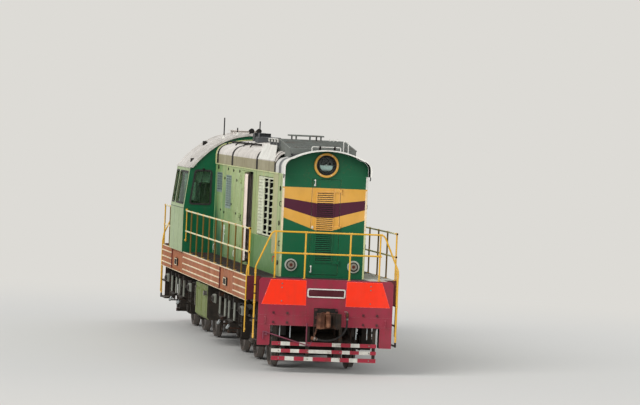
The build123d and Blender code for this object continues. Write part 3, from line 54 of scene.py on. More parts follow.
# Everything is in metres. X points forward, Y left and Z up, and the rail top is at RAIL.
RAIL = 0.028
BEAM_X = 8.0
NOSE_X = 7.3
HOOD_Y = 0.865
DECK_Z = 1.884
EAVE_Z = 3.953
CAB_FRONT = -3.17
CAB_REAR = -5.63
KINK = (1.575, 2.911)
CAB_EAVE = (1.459, 3.826)
RAIL_Y = 1.5
PIVOT_X = 4.33
AXLE_STEP = 2.0
AXLE_Z = 0.553
DOOR_STARTS = {"rear": 1.16, "middle": 1.78, "front": 2.4}
ENDS = (1, -1)
# Shoulder and crown of each hood's roof, and radius and height of each headlight
NOSE_ROOF, HOOD_ROOF = (4.269, 4.439), (4.378, 4.5)
NOSE_LAMP, REAR_LAMP = (0.25, 4.158), (0.22, 2.98)
MARKER_Y, MARKER_Z = 0.64, 2.128
END_RAIL_X, STEP_RAIL_Y = 7.98, 1.445
SILL_FACE, SILL_LOW = 1.509, 1.381
BOGIES = (("front_bogie", PIVOT_X), ("rear_bogie", -PIVOT_X))
MATH, MIX, RAMP, NOISE = "ShaderNodeMath", "ShaderNodeMix", "ShaderNodeValToRGB", "ShaderNodeTexNoise"
RANGE, HUE, BUMP = "ShaderNodeMapRange", "ShaderNodeHueSaturation", "ShaderNodeBump"


# Colours and the node helpers
def linear(text):
    """Linear colour, with alpha, of an sRGB hex value."""
    channels = [int(text[i:i + 2], 16) / 255 for i in (1, 3, 5)]
    return tuple(c / 12.92 if c <= 0.04045 else ((c + 0.055) / 1.055) ** 2.4 for c in channels) + (1.0,)


def fill(tree, made, inputs):
    """Sets a node's inputs, each to a value, a hex colour, a node, a socket or a list of nodes."""
    for key, value in inputs.items():
        for item in value if isinstance(value, list) else [value]:
            if isinstance(item, bpy.types.Node):
                item = next(socket for socket in item.outputs if socket.enabled)
            if isinstance(item, bpy.types.NodeSocket):
                tree.links.new(item, made.inputs[key])
            else:
                is_colour = isinstance(item, str) and item.startswith("#")
                made.inputs[key].default_value = linear(item) if is_colour else item


def add(tree, kind, inputs=None, stops=None, **settings):
    """Adds one node with its settings, the stops of its ramp and its inputs."""
    made = tree.nodes.new(kind)
    for key, value in settings.items():
        setattr(made, key, value)
    if stops:
        elements = made.color_ramp.elements
        while len(elements) < len(stops):
            elements.new(0.5)
        for element, (position, value) in zip(elements, stops):
            element.position = position
            element.color = linear(value) if isinstance(value, str) else (value, value, value, 1.0)
    fill(tree, made, inputs or {})
    return made


def within(tree, *ranges):
    """One where each value lies between its low and its high, which may be nodes, or None for an open end."""
    tests = [(value, edge, test) for value, low, high in ranges
             for edge, test in ((low, "GREATER_THAN"), (high, "LESS_THAN")) if edge is not None]
    mask = None
    for value, edge, test in tests:
        passed = add(tree, MATH, {0: value, 1: edge}, operation=test)
        mask = add(tree, MATH, {0: mask, 1: passed}, operation="MULTIPLY") if mask else passed
    return mask


def layered(tree, base, *layers):
    """Paints laid over a base, each where its mask, or its list of ranges, holds."""
    for mask, paint in layers:
        mask = within(tree, *mask) if isinstance(mask, list) else mask
        base = add(tree, MIX, {0: mask, 6: base, 7: paint}, data_type="RGBA")
    return base


def measures(tree, position):
    """Object coordinates by axis, the reach along, the spread across, and Y as the nearer end sees it."""
    x, y, z = add(tree, "ShaderNodeSeparateXYZ", {"Vector": position}).outputs
    reach, spread = (add(tree, MATH, {0: axis}, operation="ABSOLUTE") for axis in (x, y))
    across = add(tree, MATH, {0: y, 1: add(tree, MATH, {0: x}, operation="SIGN")}, operation="MULTIPLY")
    return SimpleNamespace(position=position, x=x, y=y, z=z, reach=reach, spread=spread, across=across)


def radius(tree, *offsets):
    """Distance from an axis, from two values and the axis's place in each."""
    sides = [add(tree, MATH, {0: value, 1: axis}, operation="SUBTRACT") for value, axis in offsets]
    flat = add(tree, "ShaderNodeCombineXYZ", dict(enumerate(sides)))
    return add(tree, "ShaderNodeVectorMath", {0: flat}, operation="LENGTH").outputs["Value"]


def start_material(name):
    """New material with its tree, Principled shader and object coordinates."""
    made = bpy.data.materials.new(name)
    made.use_nodes = True
    tree = made.node_tree
    tree.nodes.clear()
    shader = add(tree, "ShaderNodeBsdfPrincipled")
    add(tree, "ShaderNodeOutputMaterial", {"Surface": shader})
    position = add(tree, "ShaderNodeTexCoord").outputs["Object"]
    return made, tree, shader, position


def rubbed_edges(tree, width):
    """One along edges and corners, where hands, boots and tools rub the paint."""
    rounded = add(tree, "ShaderNodeBevel", {"Radius": width}, samples=4)
    true = add(tree, "ShaderNodeNewGeometry").outputs["Normal"]
    match = add(tree, "ShaderNodeVectorMath", {0: rounded, 1: true}, operation="DOT_PRODUCT").outputs["Value"]
    return add(tree, RANGE, {"Value": match, "From Min": 0.99, "From Max": 0.85})


def chosen(key):
    """A colour from the panel, as a shader takes it."""
    return tuple(getattr(bpy.context.scene.loco_paints, key)) + (1.0,)


# Paints
def enamel(name, paint, gloss=0.5, dirt=0.4, chips=0.4, relief=0.3, bleach=0.6, grime="#4a4238", rust="#6b3a22"):
    """Brushed alkyd enamel on steel sheet, in one colour or in a layout of several: it bleaches in patches,
    streaks under rain, greys low down with brake dust, chips to rusty steel and rubs bare along edges, and
    the sheet is never quite flat."""
    made, tree, shader, position = start_material(name)
    at = measures(tree, position)
    # Bleached patches about a metre across, mottling of 15 cm and rain streaks 15 cm apart
    clouds = add(tree, NOISE, {"Vector": position, "Scale": 0.9, "Detail": 3.0})
    mottle = add(tree, NOISE, {"Vector": position, "Scale": 7.0, "Detail": 5.0})
    falling = add(tree, "ShaderNodeMapping", {"Vector": position, "Scale": (6.0, 6.0, 0.45)})
    streaks = add(tree, NOISE, {"Vector": falling, "Scale": 1.0, "Detail": 4.0, "Roughness": 0.6})
    base = paint(tree, at) if callable(paint) else paint
    faded = add(tree, HUE, {"Saturation": 0.82, "Value": 1.3, "Color": base})
    patch = add(tree, RAMP, {"Fac": clouds}, ((0.42, 0.0), (0.7, bleach)))
    spots = add(tree, RAMP, {"Fac": mottle}, ((0.45, 0.0), (0.75, 0.3 * min(1.0, 2 * dirt))))
    runs = add(tree, RAMP, {"Fac": streaks}, ((0.5, 0.0), (0.8, dirt)))
    # Brake dust settles thicker towards the rail
    low = add(tree, RANGE, {"Value": at.z, "From Min": 2.3, "From Max": 0.3, "To Max": 0.5 * dirt})
    dust = add(tree, MATH, {0: low, 1: mottle}, operation="MULTIPLY")
    colour = layered(tree, base, (patch, faded), (spots, grime), (runs, grime), (dust, "#6f6152"))
    # Rubbed edges, then chips of 2 to 5 cm where two noises meet
    fine = add(tree, NOISE, {"Vector": position, "Scale": 24.0, "Detail": 6.0, "Roughness": 0.7})
    broad = add(tree, NOISE, {"Vector": position, "Scale": 2.3, "Detail": 2.0})
    edge = rubbed_edges(tree, 0.012)
    uneven = add(tree, RAMP, {"Fac": fine}, ((0.4, 0.1), (0.65, 0.8)))
    rubbed = add(tree, MATH, {0: edge, 1: uneven}, operation="MULTIPLY")
    pale = add(tree, HUE, {"Saturation": 0.75, "Value": 1.9, "Color": colour})
    both = add(tree, MATH, {0: fine, 1: broad}, operation="MULTIPLY")
    both = add(tree, MATH, {0: edge, 1: 0.05, 2: both}, operation="MULTIPLY_ADD")
    start = 0.37 - 0.03 * chips
    chipped = add(tree, RAMP, {"Fac": both}, ((start, 0.0), (start + 0.03, min(1.0, chips))))
    rough = add(tree, MATH, {0: mottle, 1: 0.25, 2: gloss - 0.1}, operation="MULTIPLY_ADD")
    rough = add(tree, MATH, {0: chipped, 1: 0.3, 2: rough}, operation="MULTIPLY_ADD", use_clamp=True)
    # Sheet waves of half a metre, brush marks of 2 cm and the step down into a chip
    waves = add(tree, NOISE, {"Vector": position, "Scale": 2.2, "Detail": 1.0})
    brush = add(tree, NOISE, {"Vector": position, "Scale": 60.0, "Detail": 3.0})
    height = add(tree, MATH, {0: brush, 1: 0.03, 2: waves}, operation="MULTIPLY_ADD")
    height = add(tree, MATH, {0: chipped, 1: -0.04, 2: height}, operation="MULTIPLY_ADD")
    fill(tree, shader, {"Base Color": layered(tree, colour, (rubbed, pale), (chipped, rust)), "Roughness": rough,
                        "Specular IOR Level": 0.2,
                        "Normal": add(tree, BUMP, {"Strength": relief, "Distance": 0.012, "Height": height})})
    return made


def nose_layout(tree, at):
    """Deep green nose with an ochre, maroon and ochre chevron that dips to the middle; light green sides,
    pale shoulders, a dark grey top, and the door face behind the slats painted near black as the shade between them."""
    spread = add(tree, MATH, {0: at.spread, 1: 0.165}, operation="SUBTRACT")
    spread = add(tree, MATH, {0: spread, 1: 0.0}, operation="MAXIMUM")
    lowest, lower, upper, highest = (
        add(tree, MATH, {0: spread, 1: slope, 2: middle + RAIL}, operation="MULTIPLY_ADD")
        for middle, slope in ((2.81, 0.36), (3.07, 0.28), (3.36, 0.13), (3.67, 0.0)))
    front = (at.x, 7.2985, None)
    roof = layered(tree, "#c9c7c0", ([(at.z, 4.30, None)], "#55595a"), ([(at.x, 6.64, 6.96)], "#55595a"))
    # The door face behind the slats is painted near black as painted shade
    return layered(tree, hood_layout(tree, at), ([(at.z, EAVE_Z + 0.004, None)], roof),
                   ([front], chosen("nose_green")), ([front, (at.z, lowest, highest)], chosen("ochre")),
                   ([front, (at.z, lower, upper)], chosen("maroon")),
                   ([(at.x, 7.2985, 7.3015), (at.y, -0.163, 0.183), (at.z, 2.2, 3.626)], "#14201a"))


def hood_layout(tree, at):
    """Light green, partly bleached by the sun and partly painted sunlight and sheen, giving way to the deep green
    paint low down next to the cab, with old yellowish runs and the inside painted near black as shade."""
    # Painted sunlight and sheen: the green turns lighter higher up and further forward from the cab
    along = add(tree, RANGE, {"Value": at.x, "From Min": -3.2, "From Max": 1.0})
    up = add(tree, RANGE, {"Value": at.z, "From Min": 1.9, "From Max": 3.7})
    ragged = add(tree, NOISE, {"Vector": at.position, "Scale": 1.4, "Detail": 3.0})
    pale = add(tree, MATH, {0: up, 1: 0.8, 2: along}, operation="MULTIPLY_ADD")
    pale = add(tree, MATH, {0: pale, 1: ragged}, operation="ADD")
    pale = add(tree, MATH, {0: pale, 1: 0.5}, operation="MULTIPLY")
    green = add(tree, RAMP, {"Fac": pale}, ((0.42, "#12573c"), (0.62, "#6f9358"), (0.95, "#9bad74")))
    falling = add(tree, "ShaderNodeMapping", {"Vector": at.position, "Scale": (9.0, 9.0, 0.35)})
    runs = add(tree, NOISE, {"Vector": falling, "Scale": 1.0, "Detail": 3.0})
    yellow = add(tree, RAMP, {"Fac": runs}, ((0.52, 0.0), (0.68, 0.55)))
    # Repainted panels, covers, the shutters' plate and dark seams, as X, Z and colour
    patches = (
        (3.07, 6.7, 1.8, 2.59, "#5c8848"), (-2.83, -1.91, 3.31, 3.76, "#6f827c"), (-1.28, -0.38, 2.99, 3.73, "#7d8f86"),
        (-1.78, -1.22, 2.46, 2.60, "#c3d0bd"), (-1.62, -1.30, 2.20, 2.46, "#bccbb6"),
        (6.02, 6.64, 2.3, 3.93, "#a9a878"), (6.672, 6.708, 1.9, 3.93, "#1e2a1c"), (3.43, 3.47, 1.9, 3.93, "#3c5230"),
        (-3.16, -3.08, 1.9, 3.93, "#7fa36b"))
    # The inside of the hood is painted near black as painted shade
    return layered(tree, green, (yellow, "#b3ab6c"),
                   *(([(at.x, x0, x1), (at.z, z0, z1)], tone) for x0, x1, z0, z1, tone in patches),
                   ([(at.spread, None, 0.828), (at.x, None, 7.255)], "#100f0d"))


def cover_layout(tree, at):
    """Chalky off-white roof covers with a beige band up their sides."""
    return layered(tree, "#cfc8bf", ([(at.z, 3.9, 4.17)], "#989073"))


def cab_layout(tree, at):
    """Deep green cab ends, pale green sides that are partly bleached and partly painted sunlight and sheen, their dark
    seams and a cream inside.
    """
    skin, slope = KINK[0] - 0.012, 0.1268
    lean = add(tree, MATH, {0: at.z, 1: slope, 2: at.spread}, operation="MULTIPLY_ADD")
    side = add(tree, MATH, {0: within(tree, (at.spread, skin, None)),
                            1: within(tree, (lean, skin + slope * KINK[1], None))}, operation="MAXIMUM")
    side = within(tree, (side, 0.5, None), (at.x, CAB_REAR + 0.03, CAB_FRONT - 0.03))
    inner = [(side, None, 0.5), (at.x, CAB_REAR + 0.015, CAB_FRONT - 0.015)]
    seams = ((at.x, -4.912, -4.888), (at.x, -4.032, -4.008), (at.z, 2.878, 2.896))
    # The sides' pale green is partly painted sunlight and sheen on the deep green paint
    return layered(tree, chosen("nose_green"), (side, "#97a97c"), (inner, "#c3c496"),
                   *(([(side, 0.5, None), seam], "#4d5c46") for seam in seams))


def deck_layout(tree, at):
    """Dark deck plate, with a painted highlight on the left at the front."""
    # Painted highlight: a pale patch on the deck's left side at the front
    return layered(tree, "#2e2d2c", ([(at.x, 4.6, 8.0), (at.y, 0.87, 1.52), (at.z, 1.88, 1.9)], "#b9b7ac"))


def beam_layout(tree, at):
    """Crimson beam faces; the inner sides are painted near black as shade."""
    # Painted shade: everything but the outer faces is near black
    return layered(tree, "#1c1210", ([(at.reach, 7.975, None)], chosen("beam_crimson")))


def railing_layout(tree, at):
    """Side rails in a pale cream on old brownish-yellow posts; the step rails are fresh yellow."""
    old = layered(tree, "#6f5418", *(([rail], "#ddd4ac") for rail in ((at.z, 2.342, 2.378), (at.z, 2.809, None))))
    return layered(tree, chosen("rail_yellow"), ([(at.reach, None, 7.2)], old))


def gear_layout(tree, at):
    """Black running gear with pale hanging rods."""
    return layered(tree, "#131211", ([(at.spread, 1.458, 1.512), (at.z, 0.853, 1.228)], "#84877c"))


def tank_layout(tree, at):
    """Olive tank sides; the ends and belly are painted black as shade."""
    # Painted shade: black everywhere but the olive sides
    return layered(tree, "#171714", ([(at.spread, 1.41, None), (at.x, -1.098, 0.948)], chosen("tank_olive")))


def guard_layout(tree, at):
    """Red bars with white blocks, staggered from bar to bar, on black uprights."""
    bars = (
        (0.53, 0.63, ((-0.88, -0.69), (-0.50, -0.35), (0.16, 0.34), (0.54, 0.725))),
        (0.39, 0.48, ((-1.09, -0.87), (-0.68, -0.50), (-0.31, 0.157), (0.37, 0.53), (0.715, 0.94))),
        (0.23, 0.33, ((-0.786, -0.60), (-0.40, -0.22), (0.157, 0.33), (0.52, 0.69))),
    )
    front = (at.reach, 7.9602, None)
    blocks = [[front, (at.z, low, high), (at.across, left, right)] for low, high, row in bars for left, right in row]
    return layered(tree, "#17140f", ([front], "#a11f37"), *((block, "#d5d3c8") for block in blocks))


def lamp_layout(tree, at):
    """Ochre headlight ring, dark maroon inside it, and in the middle a dish painted near black with a painted bright
    reflection below its centre.
    """
    front = within(tree, (at.x, 0.0, None))
    (near, high), (far, low) = NOSE_LAMP, REAR_LAMP
    centre = add(tree, MATH, {0: front, 1: high - low, 2: low}, operation="MULTIPLY_ADD")
    scale = add(tree, MATH, {0: front, 1: 1 / near - 1 / far, 2: 1 / far}, operation="MULTIPLY_ADD")
    share = add(tree, MATH, {0: radius(tree, (at.y, 0.0), (at.z, centre)), 1: scale}, operation="MULTIPLY")
    # The dish inside the ring is painted near black as a painted dark reflection
    stops = ((0.0, "#0c0d0e"), (0.76, "#0b0a0a"), (0.78, "#1d0f12"), (0.81, "#1d0f12"), (0.82, "#c9963a"))
    colour = add(tree, RAMP, {"Fac": share}, stops)
    # Painted reflection: a bright crescent in the dark-painted dish, below its middle
    fall = add(tree, MATH, {0: centre, 1: at.z}, operation="SUBTRACT")
    fall = add(tree, MATH, {0: fall, 1: 8.0}, operation="MULTIPLY")
    reflection_crescent = add(tree, RAMP, {"Fac": fall}, ((0.0, 0.0), (0.05, 1.0), (0.55, 1.0), (0.95, 0.0)))
    painted_reflection = add(tree, MATH, {0: reflection_crescent, 1: within(tree, (share, None, 0.52))}, operation="MULTIPLY")
    return layered(tree, colour, (painted_reflection, "#dfe9ea"))


def marker_layout(tree, at):
    """Marker lamps in rings: brown bulb, greyish lens, a dark ring and a pale case."""
    share = add(tree, MATH, {0: radius(tree, (at.spread, MARKER_Y), (at.z, MARKER_Z)), 1: 7.5}, operation="MULTIPLY")
    stops = ((0.0, "#4c1d14"), (0.22, "#5a2a1e"), (0.32, "#8a8678"), (0.55, "#77756a"), (0.6, "#1b1b19"),
             (0.69, "#1f1f1c"), (0.72, "#a5a898"))
    return add(tree, RAMP, {"Fac": share}, stops)


def coupler_layout(tree, at):
    """Cast coupler parts: black housing, rusty shank, red-brown knuckle and pinkish lever work."""
    grain = add(tree, NOISE, {"Vector": at.position, "Scale": 6.0, "Detail": 6.0})
    rusty = add(tree, RAMP, {"Fac": grain}, ((0.3, "#14110f"), (0.55, "#2b1d16"), (0.75, "#5a3823")))
    red_rust = add(tree, RAMP, {"Fac": grain}, ((0.3, "#2a1610"), (0.5, "#573322"), (0.72, "#8d6148")))
    housing = (at.reach, None, 8.11)
    return layered(tree, rusty, ([(at.across, -0.3, 0.02), (at.reach, 8.16, 8.7)], red_rust),
                   ([housing], "#151413"), ([housing, (at.spread, 0.27, None)], "#7c3a4c"))


# Bare metals, rubber, glass and cloth
def simple(name, dark, light, rough, metallic, scale, relief, depth):
    """Material with one cloud of wear that drives its colour, its roughness and its relief."""
    made, tree, shader, position = start_material(name)
    cloud = add(tree, NOISE, {"Vector": position, "Scale": scale, "Detail": 6.0})
    grain = add(tree, NOISE, {"Vector": position, "Scale": scale * 12, "Detail": 4.0})
    fill(tree, shader, {
        "Base Color": add(tree, RAMP, {"Fac": cloud}, ((0.3, dark), (0.72, light))), "Metallic": metallic,
        "Roughness": add(tree, RAMP, {"Fac": grain}, ((0.3, rough - 0.1), (0.7, min(1.0, rough + 0.12)))),
        "Normal": add(tree, BUMP, {"Strength": relief, "Distance": depth, "Height": grain})})
    return made


def wheel_steel():
    """Rolled wheel steel: rubbed bright on the tread, brown brake dust elsewhere."""
    made, tree, shader, position = start_material("rolled_wheel_steel")
    dust = add(tree, NOISE, {"Vector": position, "Scale": 9.0, "Detail": 5.0})
    colour = add(tree, RAMP, {"Fac": dust}, ((0.3, "#241f1c"), (0.6, "#4b3a30"), (0.8, "#6d5746")))
    rim = within(tree, (measures(tree, position).spread, 0.752, 0.846))
    share = add(tree, MATH, {0: rim, 1: 0.55}, operation="MULTIPLY")
    # Turning and rolling marks run round the tread, drawn 5 mm apart where real ones are under 1 mm
    lathe = add(tree, "ShaderNodeMapping", {"Vector": position, "Scale": (2.0, 200.0, 2.0)})
    rings = add(tree, NOISE, {"Vector": lathe, "Scale": 1.0, "Detail": 2.0})
    fill(tree, shader, {
        "Base Color": layered(tree, colour, (share, "#8d8781")), "Metallic": share,
        "Roughness": add(tree, RAMP, {"Fac": rings}, ((0.3, 0.45), (0.7, 0.7))),
        "Normal": add(tree, BUMP, {"Strength": 0.3, "Distance": 0.002, "Height": dust})})
    return made


def clear_glass(name, tint, transmission):
    """Toughened float glass: clear with a greenish cast, dust that dulls it and a faint roller wave."""
    made, tree, shader, position = start_material(name)
    dust = add(tree, NOISE, {"Vector": position, "Scale": 5.0, "Detail": 5.0})
    share = add(tree, RAMP, {"Fac": dust}, ((0.5, 0.0), (0.8, 0.4)))
    fill(tree, shader, {
        "Base Color": layered(tree, tint, (share, "#a8a595")), "Transmission Weight": transmission, "IOR": 1.5,
        "Roughness": add(tree, RAMP, {"Fac": dust}, ((0.4, 0.02), (0.75, 0.12))),
        "Normal": add(tree, BUMP, {"Strength": 0.03, "Distance": 0.002, "Height": dust})})
    # Thin panes pass light straight through, so the cab behind them is lit
    open_pane = add(tree, "ShaderNodeBsdfTransparent", {"Color": tint})
    clear = add(tree, MATH, {0: share, 1: -0.5, 2: 0.8}, operation="MULTIPLY_ADD")
    mixed = add(tree, "ShaderNodeMixShader", {0: clear, 1: shader, 2: open_pane})
    fill(tree, tree.nodes["Material Output"], {"Surface": mixed})
    return made


def seat_cloth():
    """Woven seat cover, slightly fuzzy, its weave drawn at 10 mm so that it shows."""
    made, tree, shader, position = start_material("woven_seat_cover")
    weave = add(tree, "ShaderNodeTexWave", {"Vector": position, "Scale": 30.0, "Distortion": 1.5},
                bands_direction="DIAGONAL")
    worn = add(tree, NOISE, {"Vector": position, "Scale": 12.0})
    fill(tree, shader, {
        "Base Color": add(tree, RAMP, {"Fac": weave}, ((0.2, "#17181b"), (0.8, "#34363a"))), "Sheen Weight": 0.4,
        "Roughness": add(tree, RAMP, {"Fac": worn}, ((0.3, 0.8), (0.7, 0.95))),
        "Normal": add(tree, BUMP, {"Strength": 0.5, "Distance": 0.002, "Height": weave})})
    return made


FINISHES = {
    # Frame, sills and beams: worn and dusty, with painted highlights on the deck and the sills' ribs and edges and
    # painted shade on the beams' inner sides and bolts
    "deck": lambda: enamel("tarred_deck_plate", deck_layout, dirt=0.6, chips=0.8, gloss=0.75),
    "sill": lambda: enamel("brick_sill_enamel", "#a35c30", dirt=0.45, chips=0.5, gloss=0.6),
    # Cream serves as painted highlight on the sills' ribs and edges, the lugs' rims and the hoods' corner strips
    "cream": lambda: enamel("cream_lining_enamel", "#dcc8a4", dirt=0.3, chips=0.4, gloss=0.6),
    "sill_end": lambda: enamel("dark_crimson_enamel", "#571620", dirt=0.35, gloss=0.6),
    "crimson": lambda: enamel("crimson_enamel", beam_layout, dirt=0.3, gloss=0.6, bleach=0.35),
    # Darker crimson of the beam bolts, painted shade on and under their heads
    "crimson_painted_shade": lambda: enamel("bolt_crimson", "#4a1320", dirt=0.4, gloss=0.6),
    "orange": lambda: enamel("signal_orange_enamel", chosen("signal_orange"), dirt=0.12, chips=0.12, bleach=0.1),
    "guard": lambda: enamel("guard_enamel", guard_layout, dirt=0.35, bleach=0.3),
    "plate_red": lambda: enamel("number_plate_red", "#4a101c", dirt=0.1, chips=0.1, gloss=0.35, bleach=0.2),
    "white": lambda: enamel("white_lining_enamel", "#d8d5cc", dirt=0.25, chips=0.25),
    "yellow": lambda: enamel("handrail_yellow", chosen("rail_yellow"), dirt=0.2, gloss=0.45, bleach=0.4),
    "railing": lambda: enamel("old_railing_paint", railing_layout, dirt=0.2, gloss=0.5, bleach=0.2),
    # The step black chips and rubs to pale steel, partly wear and partly painted highlight on the step edges
    "steps": lambda: enamel("scuffed_step_black", "#1d1817", dirt=0.6, chips=0.9, gloss=0.65, rust="#8d857a"),
    # Running gear and tank: oily black under brown dust; the tank's ends and the flat black also serve as painted shade
    "black": lambda: enamel("running_gear_black", "#131211", grime="#3a332b", dirt=0.55, gloss=0.65),
    "gear": lambda: enamel("bogie_black", gear_layout, grime="#332d26", dirt=0.5, gloss=0.65),
    # Flat black; it also serves as painted shade in the shutters' recess and under the nose visor
    "soot": lambda: enamel("sooty_black", "#0b0a09", grime="#1d1916", dirt=0.3, gloss=0.85, chips=0.1),
    "damper": lambda: enamel("pale_damper_paint", "#a4abab", dirt=0.3, gloss=0.45),
    "tank": lambda: enamel("olive_tank_enamel", tank_layout, dirt=0.5),
    "engine": lambda: enamel("oily_engine_enamel", "#3c403e", dirt=0.7),
    "cast": lambda: enamel("rusty_cast_steel", coupler_layout, dirt=0.2, chips=0.2, gloss=0.7, relief=0.5),
    # Body: bleached by the sun, with painted sunlight and sheen on the hood and cab sides, glossy where it was
    # repainted
    "hood": lambda: enamel("bleached_hood_green", hood_layout, dirt=0.35),
    "lime": lambda: enamel("pale_gutter_green", "#b9bd84", dirt=0.3, chips=0.3, gloss=0.6),
    "nose": lambda: enamel("nose_enamel", nose_layout, dirt=0.12, chips=0.12, gloss=0.42, bleach=0.3),
    "cab": lambda: enamel("cab_enamel", cab_layout, dirt=0.2, chips=0.2, gloss=0.42, bleach=0.4),
    "deep_green": lambda: enamel("deep_green_enamel", chosen("nose_green"), dirt=0.2, gloss=0.42, bleach=0.3),
    "shutter": lambda: enamel("shutter_paint", "#cdd0b4", dirt=0.35, chips=0.3),
    # Blue-grey of the engine room pillars, a painted reflection of the sky
    "sky_reflection_slate": lambda: enamel("blue_grey_enamel", "#8296aa", dirt=0.2),
    "lining": lambda: enamel("pink_white_door_lining", "#f0dcd3", dirt=0.15, chips=0.15, bleach=0.1),
    "red": lambda: enamel("red_handle_enamel", "#b0202a", dirt=0.1, chips=0.3, gloss=0.4),
    "lamp": lambda: enamel("headlight_enamel", lamp_layout, dirt=0.05, chips=0.2, gloss=0.4, bleach=0.1),
    "marker": lambda: enamel("marker_lamp_enamel", marker_layout, dirt=0.1, chips=0.1, gloss=0.3, bleach=0.2),
    # Roofs: chalky and dull
    "roof": lambda: enamel("chalky_roof_paint", cover_layout, dirt=0.35, chips=0.3, gloss=0.7),
    "cab_roof": lambda: enamel("pale_roof_paint", "#c4beb6", dirt=0.45, chips=0.3, gloss=0.7),
    "band": lambda: enamel("roof_seam_tar", "#1b1917", dirt=0.25, chips=0.1, gloss=0.75),
    "dark_grey": lambda: enamel("dark_grey_paint", "#4a4d4f", dirt=0.35, gloss=0.65),
    "fan_grey": lambda: enamel("dusty_grey_paint", "#6b6f69", dirt=0.4, gloss=0.7),
    "alloy": lambda: enamel("dusty_fan_alloy", "#8a8c8d", dirt=0.4),
    # Mild steel, zinc plated or rubbed bare: grey with a soft shine
    "steel": lambda: simple("rubbed_bare_steel", "#5d5a57", "#9a958e", 0.42, 0.85, 20.0, 0.2, 0.001),
    # Moulded black rubber with a dusty bloom
    "rubber": lambda: simple("moulded_black_rubber", "#0c0c0c", "#2a2825", 0.72, 0.0, 18.0, 0.2, 0.001),
    # Silvered lamp reflector
    "silver": lambda: simple("silvered_reflector", "#b9bab7", "#e6e6e2", 0.18, 0.9, 14.0, 0.05, 0.0005),
    # Matt black instrument plastic
    "plastic": lambda: simple("black_instrument_plastic", "#101112", "#1e2022", 0.5, 0.0, 40.0, 0.1, 0.0005),
    "wheel": wheel_steel,
    "glass": lambda: clear_glass("cab_window_glass", "#b9cfc2", 0.95),
    "lens": lambda: clear_glass("headlight_glass", "#e4ebe8", 0.97),
    "cloth": seat_cloth,
}
MADE = {}


def finish(name):
    """The named finish, made the first time that it is asked for."""
    if name not in MADE:
        MADE[name] = FINISHES[name]()
    return MADE[name]


# The finish of each CAD node
NODE_FINISH = {
    "main_frame": "deck", "side_sills": "sill", "buffer_beams": "crimson", "corner_steps": "steps",
    "couplers": "cast", "brake_hoses": "rubber", "obstacle_guards": "guard", "side_railings": "railing",
    "end_railings": "yellow", "engine_hood": "hood", "radiator_hood": "nose", "nose_door": "nose",
    "radiator_shutters": "shutter", "hood_roof_covers": "roof", "fan_housing": "dark_grey", "roof_vents": "dark_grey",
    "cooling_fan": "alloy", "cab_shell": "cab", "cab_roof": "cab_roof", "front_cab_door": "deep_green",
    "rear_cab_door": "deep_green", "cab_glass": "glass", "control_desk": "dark_grey", "driver_seats": "cloth",
    "rear_hood": "deep_green", "engine_block": "engine", "headlights": "lamp", "marker_lamps": "marker",
    "roof_fittings": "black", "fuel_tank": "tank", "air_reservoirs": "black",
}
PREFIX_FINISH = (("wheelset", "wheel"), ("front_", "gear"), ("rear_", "gear"), ("left_", "hood"), ("right_", "hood"))


def finish_of(node):
    """The finish that a CAD node is painted with."""
    if node in NODE_FINISH:
        return NODE_FINISH[node]
    return next(name for prefix, name in PREFIX_FINISH if node.startswith(prefix))


# Outlines
def eased(points, bend, loop=False, steps=4):
    """Path through the points with its corners rounded."""
    points = [Vector(point) for point in points]
    count = len(points)
    path = []
    for index, corner in enumerate(points):
        if not loop and index in (0, count - 1):
            path.append(corner)
            continue
        before = points[index - 1] - corner
        after = points[(index + 1) % count] - corner
        reach = min(bend, 0.49 * before.length, 0.49 * after.length)
        start = corner + before.normalized() * reach
        end = corner + after.normalized() * reach
        for step in range(steps + 1):
            t = step / steps
            path.append(start * (1 - t) ** 2 + corner * (2 * t * (1 - t)) + end * t ** 2)
    return path


def arc(first, middle, last, steps=8):
    """Points on the circle through three points of a plane."""
    (ax, ay), (bx, by), (cx, cy) = first, middle, last
    d = 2 * (ax * (by - cy) + bx * (cy - ay) + cx * (ay - by))
    a2, b2, c2 = ax * ax + ay * ay, bx * bx + by * by, cx * cx + cy * cy
    x = (a2 * (by - cy) + b2 * (cy - ay) + c2 * (ay - by)) / d
    y = (a2 * (cx - bx) + b2 * (ax - cx) + c2 * (bx - ax)) / d
    radius = hypot(ax - x, ay - y)
    start = atan2(ay - y, ax - x)
    sweep = (atan2(cy - y, cx - x) - start + pi) % (2 * pi) - pi
    return [(x + radius * cos(start + sweep * i / steps), y + radius * sin(start + sweep * i / steps))
            for i in range(steps + 1)]


def roof_profile(shoulder, crown, eave=EAVE_Z, turn_y=0.707, steps=(5, 16)):
    """Outside of a hood's round roof from the right eave to the left, as Y and Z."""
    knee = (-HOOD_Y, eave + 0.5 * (shoulder - eave))
    turn = (-turn_y, shoulder)
    bend = ((knee[0] + turn[0]) / 2 - 0.032, (knee[1] + turn[1]) / 2 + 0.022)
    right = [(-HOOD_Y, eave)] + arc(knee, bend, turn, steps[0])
    top = arc(turn, (0, crown), (turn_y, shoulder), steps[1])
    return right + top[1:-1] + [(-y, z) for y, z in reversed(right)]


def cab_profile():
    """Outside of the cab's round roof, as Y and Z."""
    flank = arc((-CAB_EAVE[0], CAB_EAVE[1]), (-1.195, 4.125), (-0.930, 4.347), 6)
    top = arc((-0.930, 4.347), (0, 4.648), (0.930, 4.347), 14)
    return flank + top[1:-1] + [(-y, z) for y, z in reversed(flank)]


def side_y(z):
    """Half width of the cab's outside at a height."""
    if z < KINK[1]:
        return KINK[0]
    return KINK[0] - (KINK[0] - CAB_EAVE[0]) * (z - KINK[1]) / (CAB_EAVE[1] - KINK[1])


def rectangle(x, y, z):
    """Corners of an upright rectangle, fixed along X or Y, whose place there is one number."""
    if isinstance(x, tuple):
        return [(x[0], y, z[0]), (x[1], y, z[0]), (x[1], y, z[1]), (x[0], y, z[1])]
    return [(x, y[0], z[0]), (x, y[1], z[0]), (x, y[1], z[1]), (x, y[0], z[1])]


